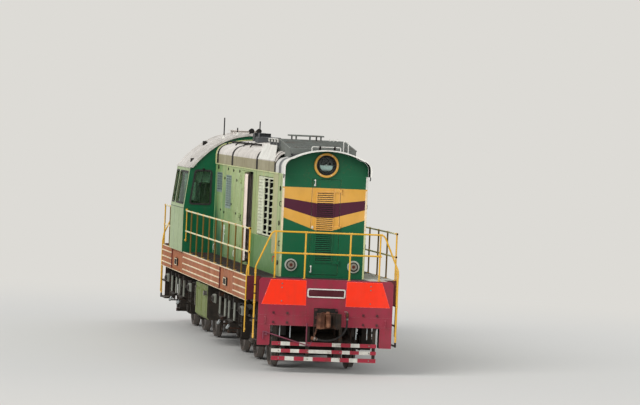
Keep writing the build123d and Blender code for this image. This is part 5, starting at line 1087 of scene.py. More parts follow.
class LOCO_OT_hood_trim(bpy.types.Operator):
    """Seam strips, gutters, fixed doors, latches and handles of the hoods, and the bands over the covers"""
    bl_idname = "loco.hood_trim"
    bl_label = "Hood trim"

    def execute(self, context):
        strips, iron, handles, bands, gutters, pillars = (Shape() for count in range(6))
        cover = roof_profile(*HOOD_ROOF)
        for side in (-1, 1):
            y = side * HOOD_Y
            out = (0, side, 0)
            for x in (-3.13, -1.60, -0.16, 0.80, 3.07, 3.46, 6.09, 6.70):
                strips.block((x - 0.016, x + 0.016), (y, y + side * 0.004), (DECK_Z + 0.005, EAVE_Z - 0.03), 0, 0.001)
            for x0, x1, z0, z1 in ((-0.08, 0.70, 1.96, 3.88), (-2.86, -1.88, 1.96, 3.24), (-1.31, -0.35, 1.96, 2.92)):
                strips.rim(rectangle((x0, x1), y, (z0, z1)), 0.03, out, 0.014, 0, 0.005)
            for x0, x1, z0, z1 in ((-2.84, -1.90, 3.308, 3.766), (-1.29, -0.37, 2.983, 3.738),
                                   (3.83, 6.01, 2.588, 3.858)):
                strips.rim(rectangle((x0, x1), y, (z0, z1)), 0.012, out, 0.03, 0, 0.006)
            for x, z, wide in ((-2.60, 3.872, 0.04), (-0.95, 3.866, 0.028), (-0.06, 3.852, 0.028), (0.94, 3.858, 0.028),
                               (-1.47, 3.647, 0.026), (0.51, 3.646, 0.026), (0.53, 2.918, 0.024), (-2.01, 2.918, 0.024),
                               (-1.42, 2.88, 0.024), (-0.25, 3.098, 0.024)):
                iron.latch((x, y, z), out, wide)
            for x in (-2.77, 0.63):
                handles.handle((x, y, 1.98), (x, y, 2.10), (0, side * 0.04, 0), 0.009)
            handles.handle((-1.22, y, 2.4), (-1.22, y, 2.52), (0, side * 0.04, 0), 0.009)
            for z in (2.15, 2.95, 3.65):
                iron.rod((7.02, y + side * 0.012, z - 0.05), (7.02, y + side * 0.012, z + 0.05), 0.012)
                iron.block((6.94, 7.10), (y, y + side * 0.006), (z - 0.03, z + 0.03), 0, 0.002)
            iron.block((7.012, 7.028), (y, y + side * 0.002), (1.95, 3.9), 0, 0.0005)
            for z in (3.3, 2.5):
                iron.handle((7.16, y, z), (7.16, y, z + 0.09), (0, side * 0.03, 0), 0.007)
            # Pillars beside the doors, painted blue-grey as a painted reflection of the sky
            for x in (1.74, 2.36):
                pillars.block((x, x + 0.04), (side * 0.70, side * 0.765), (1.93, 3.90), 0, 0.004)
            gutters.block((CAB_FRONT + 0.003, 6.68), (y, y + side * 0.016), (3.934, 3.946), 0, 0.003)
            gutters.block((CAB_FRONT + 0.003, 6.68), (y + side * 0.013, y + side * 0.016), (3.946, 3.958), 0, 0.001)
        for x0, x1 in ((-3.0, -2.77), (-0.53, -0.29), (3.35, 3.60), (6.03, 6.088)):
            bands.arch(cover, (x0, x1), 0.0005, 0.006)
        bands.arch(roof_profile(*NOSE_ROOF), (6.10, 6.20), 0.0005, 0.006)
        for side in (-1, 1):
            bands.tube(((-2.9, side * 0.55, 4.46), (1.8, side * 0.55, 4.46)), 0.02, 0, 0, 12)
            for x in (-2.9, -1.36, -0.1, 1.0):
                bands.tube(((x, side * 0.55, 4.46), (x, side * 0.64, 4.45), (x, side * 0.68, 4.39)), 0.014, 0, 0.03)
        gutters.arch(cover, (CAB_FRONT + 0.004, CAB_FRONT + 0.05), 0.0005, 0.02)
        rail = Shape()
        rail.tube(((7.1, -0.275, 4.43), (7.1, -0.275, 4.52), (7.1, 0.314, 4.52), (7.1, 0.314, 4.43)), 0.011, 0, 0.03)
        rail.tube(((6.9, 0.403, 4.41), (6.9, 0.403, 4.641), (6.9, 0.502, 4.641), (6.9, 0.502, 4.39)), 0.01, 0, 0.02)
        for y in (-0.11, 0.19):
            rail.block((7.08, 7.12), (y - 0.02, y + 0.02), (4.43, 4.535), 1, 0.006)
        place(rail, "nose_roof_rail", "roof_grey", "white", "black")
        for x in (-3.02, -0.62, -0.05, 3.25):
            for side in (-1, 1):
                eye = ((-0.03, 0), (-0.03, 0.05), (0.03, 0.05), (0.03, 0))
                bands.tube([(x + dx, side * 0.5, 4.437 + dz) for dx, dz in eye], 0.007, 0, 0.03)
        red = Shape()
        stem = ((0, 0.03), (0.008, 0.03), (0.012, 0.014), (0.05, 0.012), (0.052, 0))
        red.turned((6.6, -HOOD_Y, 2.25), (0, -1, 0), stem)
        red.tube(((6.6, -HOOD_Y - 0.045, 2.25), (6.6, -HOOD_Y - 0.05, 2.14)), 0.008, 0, 0)
        place(strips, "hood_seam_strips", "hood_green", "hood")
        place(iron, "hood_latches", "black_paint", "black")
        place(handles, "hood_handles", "roof_grey", "white")
        place(gutters, "hood_gutters", "roof_grey", "lime")
        place(pillars, "engine_room_pillars", "hood_green", "sky_reflection_slate")
        place(bands, "cover_bands", "dark_grey", "band")
        place(red, "red_valve_handle", "beam_paint", "red")
        return {"FINISHED"}


class LOCO_OT_shutters(bpy.types.Operator):
    """Radiator shutters: one column closed, two open over their recess, whose walls and back are painted black as shade
    """
    bl_idname = "loco.shutters"
    bl_label = "Radiator shutters"

    def execute(self, context):
        frames, closed, opened = Shape(), [], []
        for side in (-1, 1):
            y, back = side * HOOD_Y, side * 0.745
            front = (y, side * 0.835)
            for x in (3.875, 4.568, 5.272, 5.965):
                wide = 0.0325 if 4 < x < 5.5 else 0.015
                frames.block((x - wide, x + wide), front, (2.618, 3.828), 0, 0.003)
                # Recess walls, painted black as shade
                frames.block((x - 0.01, x + 0.01), (side * 0.835, back), (2.63, 3.816), 1, 0.002)
            for z in (2.633, 3.813):
                frames.block((3.86, 5.98), front, (z - 0.015, z + 0.015), 0, 0.003)
                frames.block((3.87, 5.97), (side * 0.835, back), (z - 0.006, z + 0.006), 1, 0.002)
            # Back plate of the recess, painted black as the shade behind the shutters
            frames.block((3.865, 5.975), (back, side * 0.740), (2.625, 3.821), 1, 0.002)
            heights = [2.648 + 0.066 * (i + 0.5) for i in range(18)]
            closed += grid([4.214], [side * 0.846], heights, (radians(-66 * side), 0, 0))
            heights = [2.648 + 0.1283 * (i + 0.5) for i in range(9)]
            opened += grid((4.92, 5.612), [side * 0.815], heights, (radians(-17 * side), 0, 0))
        piece = place(frames, "shutter_frames", "hood_green", "shutter", "soot")
        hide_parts("radiator_shutters")
        grow(slat_tree, closed, "closed_slats", "hood_green", "shutter", length=0.635, width=0.07,
             thickness=0.003, dish=0.02)
        grow(slat_tree, opened, "open_slats", "hood_green", "shutter", length=0.625, width=0.088,
             thickness=0.004, dish=0.03)
        return {"FINISHED"}


class LOCO_OT_sills(bpy.types.Operator):
    """Side sills: ribbed panels between the recessed jacking pads, with cream ribs and edges that are painted
    highlights
    """
    bl_idname = "loco.sills"
    bl_label = "Side sills"

    def execute(self, context):
        sills, ribs, lugs = Shape(), Shape(), Shape()
        for side in (-1, 1):
            sills.block((-7.3, 7.3), (side * 1.490, side * SILL_FACE), (SILL_LOW, 1.874), 0, 0.003)
            for x0, x1 in ((-7.3, -5.44), (-3.22, 3.22), (5.44, 7.3)):
                sills.block((x0 + 0.008, x1 - 0.008), (side * 1.508, side * 1.535), (1.392, 1.861), 0, 0.004)
                for x in (x0, x1 - 0.008):
                    sills.block((x, x + 0.008), (side * 1.508, side * 1.537), (1.39, 1.863), 1, 0.001)
                # The ribs are cream as painted highlights of their lit tops
                for z in (1.485, 1.618, 1.761):
                    section = ((1.534, z - 0.016), (1.549, z - 0.009), (1.549, z + 0.009), (1.534, z + 0.016))
                    ribs.loft([[(x, side * y, zz) for y, zz in section] for x in (x0 + 0.01, x1 - 0.01)])
            # Cream deck edge and bottom edge, painted highlights like the ribs
            ribs.block((-7.3, 7.3), (side * 1.5205, side * 1.533), (1.861, 1.885), 0, 0.003)
            ribs.block((-7.3, 7.3), (side * SILL_FACE, side * 1.548), (SILL_LOW, SILL_LOW + 0.01), 0, 0.002)
            for x in (-4.53, 4.13):
                lugs.block((x - 0.23, x + 0.23), (side * SILL_FACE, side * 1.545), (1.51, 1.68), 0, 0.006)
                # Cream rim round each lug, a painted highlight
                edge = rectangle((x - 0.215, x + 0.215), side * 1.545, (1.525, 1.665))
                lugs.strip(edge, (0, side, 0), 0.018, 0, 0.004, 1, True)
        piece = place(sills, "sill_panels", "sill_paint", "sill", "sill_end")
        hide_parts("side_sills")
        place(ribs, "sill_ribs", "sill_paint", "cream")
        place(lugs, "jacking_lugs", "sill_paint", "black", "cream")
        return {"FINISHED"}


class LOCO_OT_corner_steps(bpy.types.Operator):
    """Corner steps: plates under the deck, straps, angle rims around the gratings and the rails' black feet"""
    bl_idname = "loco.corner_steps"
    bl_label = "Corner steps"

    def execute(self, context):
        steps = Shape()
        for end in ENDS:
            steps.face_end(end)
            for side in (-1, 1):
                for x, wide in ((7.374, 1.52), (7.948, 1.40)):
                    steps.block((x, x + 0.012), (side * 1.25, side * wide), (1.40, DECK_Z), 0, 0.002)
                    steps.block((x, x + 0.012), (side * 1.26, side * 1.32), (0.60, 1.41), 1, 0.002)
                for level in (0.60, 1.0, 1.40):
                    for y0, y1 in ((1.248, 1.256), (1.434, 1.442)):
                        steps.block((7.374, 7.960), (side * y0, side * y1), (level - 0.022, level + 0.012), 1, 0.002)
                    for x in (7.386, 7.936):
                        steps.block((x, x + 0.012), (side * 1.25, side * 1.438), (level, level + 0.012), 1, 0.002)
                steps.block((7.955, 7.99), (side * 1.425, side * 1.465), (0.57, 0.672), 1, 0.006)
                steps.block((7.93, 7.99), (side * 1.40, side * 1.46), (0.585, 0.60), 1, 0.003)
        piece = place(steps, "corner_step_frames", "step_paint", "sill_end", "steps")
        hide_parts("corner_steps")
        return {"FINISHED"}


class LOCO_OT_door_trim(bpy.types.Operator):
    """Frames, handles, latches and pale linings of the engine room doors and the cab doors"""
    bl_idname = "loco.door_trim"
    bl_label = "Door trim"

    def execute(self, context):
        for side, side_name in ((-1, "right"), (1, "left")):
            for place_name, start in DOOR_STARTS.items():
                body = f"{side_name}_{place_name}_engine_door"
                skin, iron = Shape(), Shape()
                if body == "right_front_engine_door":
                    # This leaf stands ajar at rest
                    hinge = Vector((start - 0.004, side * 0.888, 0))
                    ajar = Matrix.Rotation(radians(-22), 4, "Z")
                    skin.turn = iron.turn = Matrix.Translation(hinge) @ ajar @ Matrix.Translation(-hinge)
                y = side * HOOD_Y
                inner = side * (HOOD_Y - 0.034)
                x0, x1, z0, z1 = start + 0.012, start + 0.568, 1.956, 3.878
                edge = rectangle((x0 + 0.02, x1 - 0.02), y, (z0 + 0.02, z1 - 0.02))
                skin.rim(edge, 0.03, (0, side, 0), 0.016, 0, 0.004)
                for z in (2.56, 3.26):
                    skin.block((x0 + 0.03, x1 - 0.03), (y, y + side * 0.003), (z - 0.012, z + 0.012), 0, 0.001)
                skin.block((x0 + 0.012, x1 - 0.012), (inner, inner - side * 0.003), (z0 + 0.012, z1 - 0.012), 1, 0.001)
                for z in (2.02, 2.9, 3.8):
                    skin.block((x0 + 0.03, x1 - 0.03), (inner - side * 0.003, inner - side * 0.015),
                               (z - 0.02, z + 0.02), 1, 0.003)
                for x in (x0 + 0.035, x1 - 0.035):
                    skin.block((x - 0.015, x + 0.015), (inner - side * 0.003, inner - side * 0.014),
                               (2.04, 3.78), 1, 0.003)
                skin.block((x1 - 0.024, x1 - 0.017), (inner, inner - side * 0.074), (2.0, 3.84), 1, 0.001)
                for z in (2.3, 3.5):
                    iron.latch((x1 - 0.05, y, z), (0, side, 0), 0.022)
                iron.handle((x1 - 0.05, y, 2.84), (x1 - 0.05, y, 2.96), (0, side * 0.035, 0), 0.008)
                place(skin, f"{body}_skin", "hood_green", "hood", "lining", body=body)
                place(iron, f"{body}_iron", "black_paint", "black", body=body)
        for body, x, side in (("front_cab_door", CAB_FRONT, 1), ("rear_cab_door", CAB_REAR, -1)):
            trim, rubber = Shape(), Shape()
            middle = side * 1.1425
            edge = eased(rectangle(x, (middle - 0.1505, middle + 0.1505), (3.01, 3.65)), 0.06, loop=True)
            rubber.strip(edge, (side, 0, 0), 0.03, 0, 0.008, 0, True)
            pane = [(x - side * 0.02, p.y, p.z) for p in edge]
            rubber.panel(pane, (side * 0.005, 0, 0), 1)
            trim.handle((x, side * 1.33, 2.82), (x, side * 1.33, 2.96), (side * 0.04, 0, 0), 0.009)
            trim.latch((x, side * 1.33, 2.70), (side, 0, 0), 0.024)
            trim.block((x, x + side * 0.004), (side * 0.93, side * 1.36), (2.02, 2.12), 0, 0.001)
            trim.block((x, x + side * 0.003), (side * 0.93, side * 1.36), (2.86, 2.885), 0, 0.001)
            place(trim, f"{body}_handle", "black_paint", "steel", body=body)
            place(rubber, f"{body}_window", "window_glass", "rubber", "glass", body=body)
        return {"FINISHED"}


class LOCO_OT_roof_trim(bpy.types.Operator):
    """Fan box grilles, ribs and hoops, and caps on the roof"""
    bl_idname = "loco.roof_trim"
    bl_label = "Roof trim"

    def execute(self, context):
        def top(x):
            return 4.63 if x < 5.40 else 4.63 - 0.16 * (x - 5.40) / 1.45
        frames, pale, inside = Shape(), Shape(), Shape()
        across = [((x, 0, top(x) - 0.004), (0, 0, pi / 2)) for x in [4.09 + 0.0465 * i for i in range(60)]]
        bars_y = (-0.5, -0.3, -0.1, 0.1, 0.3, 0.5)
        along = grid([4.73], bars_y, [4.622]) + grid([6.12], bars_y, [4.543], (0, atan2(0.16, 1.45), 0))
        stand = tuple((Matrix.Rotation(pi / 2, 3, "X") @ Matrix.Rotation(pi / 2, 3, "Z")).to_euler())
        upright = grid([4.08 + 0.0303 * i for i in range(46)], (-0.677, 0.677), [4.505], stand)
        for side in (-1, 1):
            outline = ((4.05, 4.30), (6.85, 4.30), (6.85, 4.47), (5.40, 4.63), (4.05, 4.63))
            frames.loft([[(x, side * y, z) for x, z in outline] for y in (0.662, 0.674)])
            frames.block((4.05, 5.42), (side * 0.674, side * 0.688), (4.60, 4.634), 0, 0.003)
            frames.strip([(x, side * 0.677, top(x) - 0.012) for x in (5.40, 6.85)], (0, side, 0), 0.024, -0.003, 0.011)
            for x in (4.06, 4.51, 4.96, 5.41):
                frames.block((x - 0.014, x + 0.014), (side * 0.672, side * 0.69), (4.38, 4.61), 0, 0.002)
            # White slanted sheet beside the box, and the white rail over it
            sheet = ((3.62, 0.868, 4.185), (6.07, 0.868, 4.185), (5.42, 0.735, 4.50), (3.62, 0.735, 4.50))
            pale.panel([(x, side * y, z) for x, y, z in sheet], (0, side * 0.009, 0.004))
            gusset = ((0.85, 4.18), (0.735, 4.49), (0.69, 4.49), (0.69, 4.37))
            for x in (3.64, 4.5, 5.38):
                frames.loft([[(x + dx, side * y, z) for y, z in gusset] for dx in (0, 0.008)])
            pale.block((4.0, 5.29), (side * 0.70, side * 0.722), (4.622, 4.638), 0, 0.003)
            for x in (4.02, 4.44, 4.86, 5.27):
                pale.block((x - 0.01, x + 0.01), (side * 0.69, side * 0.722), (4.56, 4.63), 0, 0.003)
        frames.block((4.05, 4.062), (-0.67, 0.67), (4.40, 4.634), 0, 0.003)
        frames.block((6.838, 6.85), (-0.67, 0.67), (4.36, 4.474), 0, 0.003)
        frames.block((5.39, 5.42), (-0.67, 0.67), (4.606, 4.632), 0, 0.003)
        # Raised hatch on posts, and the fan's ring below the mesh
        frames.block((4.6, 5.36), (-0.41, 0.25), (4.705, 4.735), 0, 0.01)
        for x, y in ((4.68, -0.33), (4.68, 0.19), (5.28, -0.04), (5.28, 0.19), (5.28, -0.33)):
            frames.rod((x, y, 4.60), (x, y, 4.708), 0.016)
        ring = ((0, 0.64), (0.12, 0.61), (0.13, 0.62), (0.13, 0.655), (0, 0.66))
        inside.turned((5.45, 0, 4.31), (0, 0, 1), ring, 0, 40)
        for y in (0.39, 0.47, 0.55):
            pale.handle((5.2, y, 4.632), (5.26, y, 4.632), (0, 0, 0.035), 0.008)
        piece = place(frames, "fan_box_frames", "dark_grey", "fan_grey")
        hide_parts("fan_housing")
        place(inside, "fan_ring", "dark_grey", "soot")
        grow(slat_tree, across, "fan_mesh_across", "dark_grey", "fan_grey", length=1.32, width=0.012,
             thickness=0.005, dish=0.0)
        grow(slat_tree, along, "fan_mesh_along", "dark_grey", "fan_grey", length=1.36, width=0.012,
             thickness=0.005, dish=0.0)
        grow(slat_tree, upright, "fan_box_side_bars", "dark_grey", "dark_grey", length=0.19, width=0.012,
             thickness=0.008, dish=0.0)
        for x, y in ((-3.70, -0.33), (-3.90, -0.615), (-3.90, 0.22)):
            cap = ((0, 0.05), (0.045, 0.045), (0.06, 0.024), (0.09, 0.02), (0.095, 0.0142))
            pale.turned((x, y, 4.618 - 0.334 * y * y), (0, 0, 1), cap, 0, 18)
        for x, y, z in ((-3.9, 1.32, 3.93), (-4.9, 0.925, 4.33)):
            for side in (-1, 1):
                pale.block((x - 0.06, x + 0.06), (side * y - 0.05, side * y + 0.05), (z, z + 0.10), 1, 0.012)
        place(pale, "roof_hoops", "roof_grey", "white", "black")
        return {"FINISHED"}


class LOCO_OT_cab_windows(bpy.types.Operator):
    """Rubber seals, wipers and sun blinds of the cab windows"""
    bl_idname = "loco.cab_windows"
    bl_label = "Cab windows"

    def execute(self, context):
        rubber, wipers, blinds = Shape(), Shape(), Shape()
        for side in (-1, 1):
            for x0, x1 in ((-4.79, -3.33), (-5.52, -5.01)):
                corners = [(x, side * side_y(z), z) for x, y, z in rectangle((x0, x1), 0, (2.99, 3.72))]
                out = (0, side * 0.992, 0.126)
                rubber.rim(corners, 0.06, out, 0.04, -0.004, 0.006)
        for end, x, panes in ((1, CAB_FRONT, ()), (-1, -CAB_REAR, (-0.38, 0.38))):
            for shape in (rubber, wipers, blinds):
                shape.face_end(end)
            outline = ((-0.965, 2.995), (-1.4414, 2.995), (-1.3347, 3.77), (-0.965, 3.77))
            rubber.rim([(x, y, z) for y, z in outline], 0.06, (1, 0, 0), 0.042, -0.004, 0.012)
            motor = ((0, 0.026), (0.03, 0.024), (0.036, 0.014), (0.05, 0.012), (0.052, 0))
            wipers.turned((x, -1.15, 3.80), (1, 0, 0), motor)
            wipers.tube(((x + 0.045, -1.15, 3.80), (x + 0.05, -1.15, 3.72), (x + 0.022, -1.24, 3.36)), 0.006, 0, 0.03)
            wipers.tube(((x + 0.016, -1.16, 3.56), (x + 0.02, -1.24, 3.36), (x + 0.016, -1.31, 3.18)), 0.007, 0, 0.04)
            blind = ((-0.99, 3.50), (-1.345, 3.50), (-1.315, 3.745), (-0.99, 3.745))
            blinds.panel([(x - 0.075, y, z) for y, z in blind], (-0.008, 0, 0))
            blinds.rod((x - 0.08, -0.985, 3.50), (x - 0.08, -1.35, 3.50), 0.01)
            for y in panes:
                rubber.rim(rectangle(x, (y - 0.32, y + 0.32), (3.48, 3.79)), 0.06, (1, 0, 0), 0.04, -0.004, 0.012)
        place(rubber, "window_rubbers", "hose_rubber", "rubber")
        place(wipers, "window_wipers", "black_paint", "black")
        place(blinds, "sun_visors", "roof_grey", "white")
        return {"FINISHED"}


class LOCO_OT_cab_trim(bpy.types.Operator):
    """Roof ribs, gutters, ventilator, grab rails and seams of the cab"""
    bl_idname = "loco.cab_trim"
    bl_label = "Cab trim"

    def execute(self, context):
        roof, seams, rails = Shape(), Shape(), Shape()
        for x in (CAB_REAR - 0.02, -4.40, CAB_FRONT + 0.02):
            roof.arch(cab_profile(), (x - 0.03, x + 0.03), 0.0005, 0.010)
        roof.block((-5.15, -4.65), (-0.30, 0.30), (4.60, 4.70), 0, 0.015)
        roof.block((-5.19, -4.61), (-0.34, 0.34), (4.70, 4.72), 0, 0.008)
        for side in (-1, 1):
            roof.block((CAB_REAR - 0.05, CAB_FRONT + 0.05), (side * 1.452, side * 1.476), (3.812, 3.824), 0, 0.003)
            roof.block((CAB_REAR - 0.05, CAB_FRONT + 0.05), (side * 1.472, side * 1.476), (3.824, 3.840), 0, 0.001)
            seams.strip([(-4.90, side * side_y(z), z) for z in (2.96, 3.80)], (0, side, 0.127), 0.03, -0.002, 0.004)
        for end, x in ((1, CAB_FRONT), (-1, -CAB_REAR)):
            rails.face_end(end)
            seams.face_end(end)
            rails.handle((x, 1.44, 2.15), (x, 1.44, 2.85), (0.06, 0, 0), 0.012)
            rails.handle((x, -1.50, 2.15), (x, -1.50, 2.85), (0.06, 0, 0), 0.012)
            seams.block((x, x + 0.003), (-1.56, -0.90), (2.90, 2.925), 0, 0.001)
            seams.block((x, x + 0.003), (-1.26, -1.235), (1.90, 2.90), 0, 0.001)
        place(roof, "cab_roof_ribs", "roof_grey", "cab_roof")
        place(seams, "cab_seams", "deep_green", "cab")
        place(rails, "cab_grab_rails", "rail_yellow", "yellow")
        return {"FINISHED"}


class LOCO_OT_cab_inside(bpy.types.Operator):
    """Padded seats on their pans, and the desk's instruments and levers"""
    bl_idname = "loco.cab_inside"
    bl_label = "Cab inside"

    def execute(self, context):
        pads, stands, desk = Shape(), Shape(), Shape()
        for y in (-0.6, 0.7):
            x = -4.25
            rings = []
            for z, inset in ((2.385, 0.03), (2.40, 0.006), (2.44, 0.0), (2.465, 0.012), (2.475, 0.05), (2.48, 0.10)):
                half = 0.218 - inset
                corners = [(x + a * half, y + b * half, z) for a, b in ((-1, -1), (1, -1), (1, 1), (-1, 1))]
                rings.append(eased(corners, 0.07, loop=True))
            pads.loft(rings, 0)
            rings = []
            for u, inset in ((-0.165, 0.03), (-0.15, 0.004), (-0.125, 0.0), (-0.10, 0.012), (-0.09, 0.06)):
                half = 0.198 - inset
                corners = rectangle(x + u, (y - half, y + half), (2.50 + inset, 2.955 - inset))
                rings.append(eased(corners, 0.08, loop=True))
            pads.loft(rings, 0)
            stem = ((0, 0.14), (0.012, 0.14), (0.03, 0.06), (0.40, 0.05), (0.42, 0.11), (0.436, 0.11))
            stands.turned((x, y, 1.944), (0, 0, 1), stem)
            stands.tube(((x - 0.12, y, 2.375), (x - 0.185, y, 2.39), (x - 0.18, y, 2.85)), 0.014, 0, 0.05)
        cushions = place(pads, "seat_pads", "seat_fabric", "cloth")
        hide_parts("driver_seats")
        place(stands, "seat_stands", "seat_fabric", "steel")
        slope = Vector((-0.38, 0, 0.925)).normalized()
        for index in range(6):
            y = -0.88 + index * 0.13
            centre = Vector((-3.60, y, 2.832)) + slope * 0.001
            desk.turned(centre, slope, ((0, 0.048), (0.012, 0.048), (0.016, 0.042), (0.010, 0.038), (0.010, 0)), 0, 20)
        desk.tube(((-3.66, -0.2, 2.80), (-3.66, -0.2, 2.93)), 0.009, 0, 0)
        desk.turned((-3.66, -0.2, 2.92), (0, 0, 1), ((0, 0), (0.01, 0.02), (0.03, 0.02), (0.04, 0)), 0, 14)
        desk.block((-3.40, -3.30), (-0.75, -0.35), (2.905, 3.05), 0, 0.01)
        place(desk, "desk_instruments", "black_paint", "plastic")
        return {"FINISHED"}


class LOCO_OT_rail_fittings(bpy.types.Operator):
    """Sleeves where rails and posts cross, flanged feet and their bolts"""
    bl_idname = "loco.rail_fittings"
    bl_label = "Rail fittings"

    def execute(self, context):
        posts = [-2.19 + 9.55 * i / 9 for i in range(10)] + [-6.3, -7.36]
        ends, end_posts = (-END_RAIL_X, END_RAIL_X), (-1.06, -0.455, 0.455, 1.06)
        sleeves = grid(posts, (-RAIL_Y, RAIL_Y), (2.36, 2.828), facing((1, 0, 0)))
        sleeves += grid(ends, end_posts, (2.388, 2.817), facing((0, 1, 0)))
        sleeves += grid(ends, (-STEP_RAIL_Y, STEP_RAIL_Y), (0.73, 1.4, 2.0))
        feet = grid(posts, (0.012 - RAIL_Y, RAIL_Y - 0.012), [DECK_Z + 0.006])
        feet += grid(ends, end_posts, [DECK_Z + 0.006])
        bolts = [((x + dx, y, z + 0.005), turn) for (x, y, z), turn in feet for dx in (-0.026, 0.026)]
        grow(collar_tree, sleeves, "rail_sleeves", "rail_yellow", "yellow", radius=0.0205, length=0.07)
        grow(collar_tree, feet, "rail_feet", "rail_yellow", "yellow", radius=0.034, length=0.012)
        grow(bolt_tree, bolts, "rail_foot_bolts", "rail_yellow", "steel", width=0.014, height=0.008)
        marks = Shape()
        for z in (1.05, 1.55, 1.72):
            marks.rod((END_RAIL_X, -STEP_RAIL_Y, z), (END_RAIL_X, -STEP_RAIL_Y, z + 0.03), 0.0185)
        place(marks, "corner_rail_marks", "black_paint", "black")
        return {"FINISHED"}


class LOCO_OT_deck_fittings(bpy.types.Operator):
    """Anti-slip bars, step gratings and the pipes under the sills"""
    bl_idname = "loco.deck_fittings"
    bl_label = "Deck fittings"

    def execute(self, context):
        pipes, turn = Shape(), (0, 0, pi / 2)
        along = [x for x in [-7.2 + 0.12 * i for i in range(121)] if not CAB_REAR - 0.15 < x < CAB_FRONT + 0.2]
        bars = grid(along, (-1.18, 1.18), [DECK_Z + 0.0015], turn)
        bars += grid([end * (7.45 + 0.1 * i) for end in ENDS for i in range(5)], [0], [DECK_Z + 0.0015], turn)
        grow(slat_tree, bars, "deck_bars", "deck_paint", "deck", length=0.52, width=0.03, thickness=0.004, dish=0.0)
        count = context.scene.loco_fittings.grating_bars
        across = [side * (1.275 + 0.145 * i / (count - 1)) for side in (-1, 1) for i in range(count)]
        grating = grid((-7.67, 7.67), across, (0.616, 1.016, 1.416))
        grow(slat_tree, grating, "step_gratings", "step_paint", "steps", length=0.55, width=0.012, thickness=0.01,
             dish=0.0)
        for side in (-1, 1):
            pipes.tube(((-7.25, side * 1.462, 1.362), (7.25, side * 1.462, 1.362)), 0.012, 0, 0, 10)
            pipes.tube(((-1.3, side * 1.42, 1.362), (1.2, side * 1.42, 1.362)), 0.016, 0, 0, 10)
            for x in (-6.9, -5.7, -2.9, -1.6, 1.6, 2.9, 5.7, 6.9):
                pipes.block((x - 0.02, x + 0.02), (side * 1.44, side * 1.485), (1.372, 1.390), 0, 0.003)
        place(pipes, "sill_pipes", "black_paint", "black")
        return {"FINISHED"}


class LOCO_OT_tank_trim(bpy.types.Operator):
    """Straps, filler necks, gauges and cover panels of the fuel tank, and the air reservoirs' bands"""
    bl_idname = "loco.tank_trim"
    bl_label = "Tank trim"

    def execute(self, context):
        straps, fittings = Shape(), Shape()
        outline = ((-1.47, 1.32), (-1.47, 0.634), (-1.41, 0.574), (1.41, 0.574), (1.47, 0.634), (1.47, 1.32))
        outward = [(0, -1, 0), (0, -0.93, -0.37), (0, -0.37, -0.93), (0, 0.37, -0.93), (0, 0.93, -0.37), (0, 1, 0)]
        for x in (-0.86, -0.08, 0.70):
            straps.strip([(x, y, z) for y, z in outline], outward, 0.07, 0.0, 0.006)
        for side in (-1, 1):
            y = side * 1.47
            for x0, x1 in ((-0.78, -0.16), (0.0, 0.62)):
                straps.rim(rectangle((x0, x1), y, (0.72, 1.24)), 0.04, (0, side, 0), 0.02, 0, 0.006)
                straps.latch(((x0 + x1) / 2, y, 1.20), (0, side, 0), 0.022)
            neck = ((0, 0.065), (0.012, 0.065), (0.016, 0.05), (0.05, 0.05), (0.054, 0.058), (0.078, 0.058),
                    (0.084, 0.045), (0.084, 0))
            fittings.turned((0.82, y, 1.16), (0, side, 0), neck)
            gauge = ((0, 0.80), (0.03, 0.80), (0.03, 1.22), (0, 1.22))
            fittings.tube([(-1.0, y + side * dy, z) for dy, z in gauge], 0.008, 0, 0.015)
            for z in (0.78, 1.20):
                fittings.block((-1.03, -0.97), (y, y + side * 0.02), (z, z + 0.04))
        place(straps, "tank_straps", "tank_green", "tank")
        place(fittings, "tank_fittings", "black_paint", "steel")
        bands = Shape()
        for x in (1.275, -1.325):
            for y in (-0.8, -0.45, 0.45, 0.8):
                band = ((0, 0.135), (0.0, 0.140), (0.04, 0.140), (0.04, 0.135))
                bands.turned((x, y - 0.02, 1.13), (0, 1, 0), band, 0, 28)
            for side in (-1, 1):
                plug = ((0, 0.03), (0.02, 0.03), (0.024, 0.02), (0.05, 0.018), (0.05, 0))
                bands.turned((x, side * 1.148, 1.13), (0, side, 0), plug, 0, 14)
        place(bands, "reservoir_bands", "black_paint", "black")
        return {"FINISHED"}


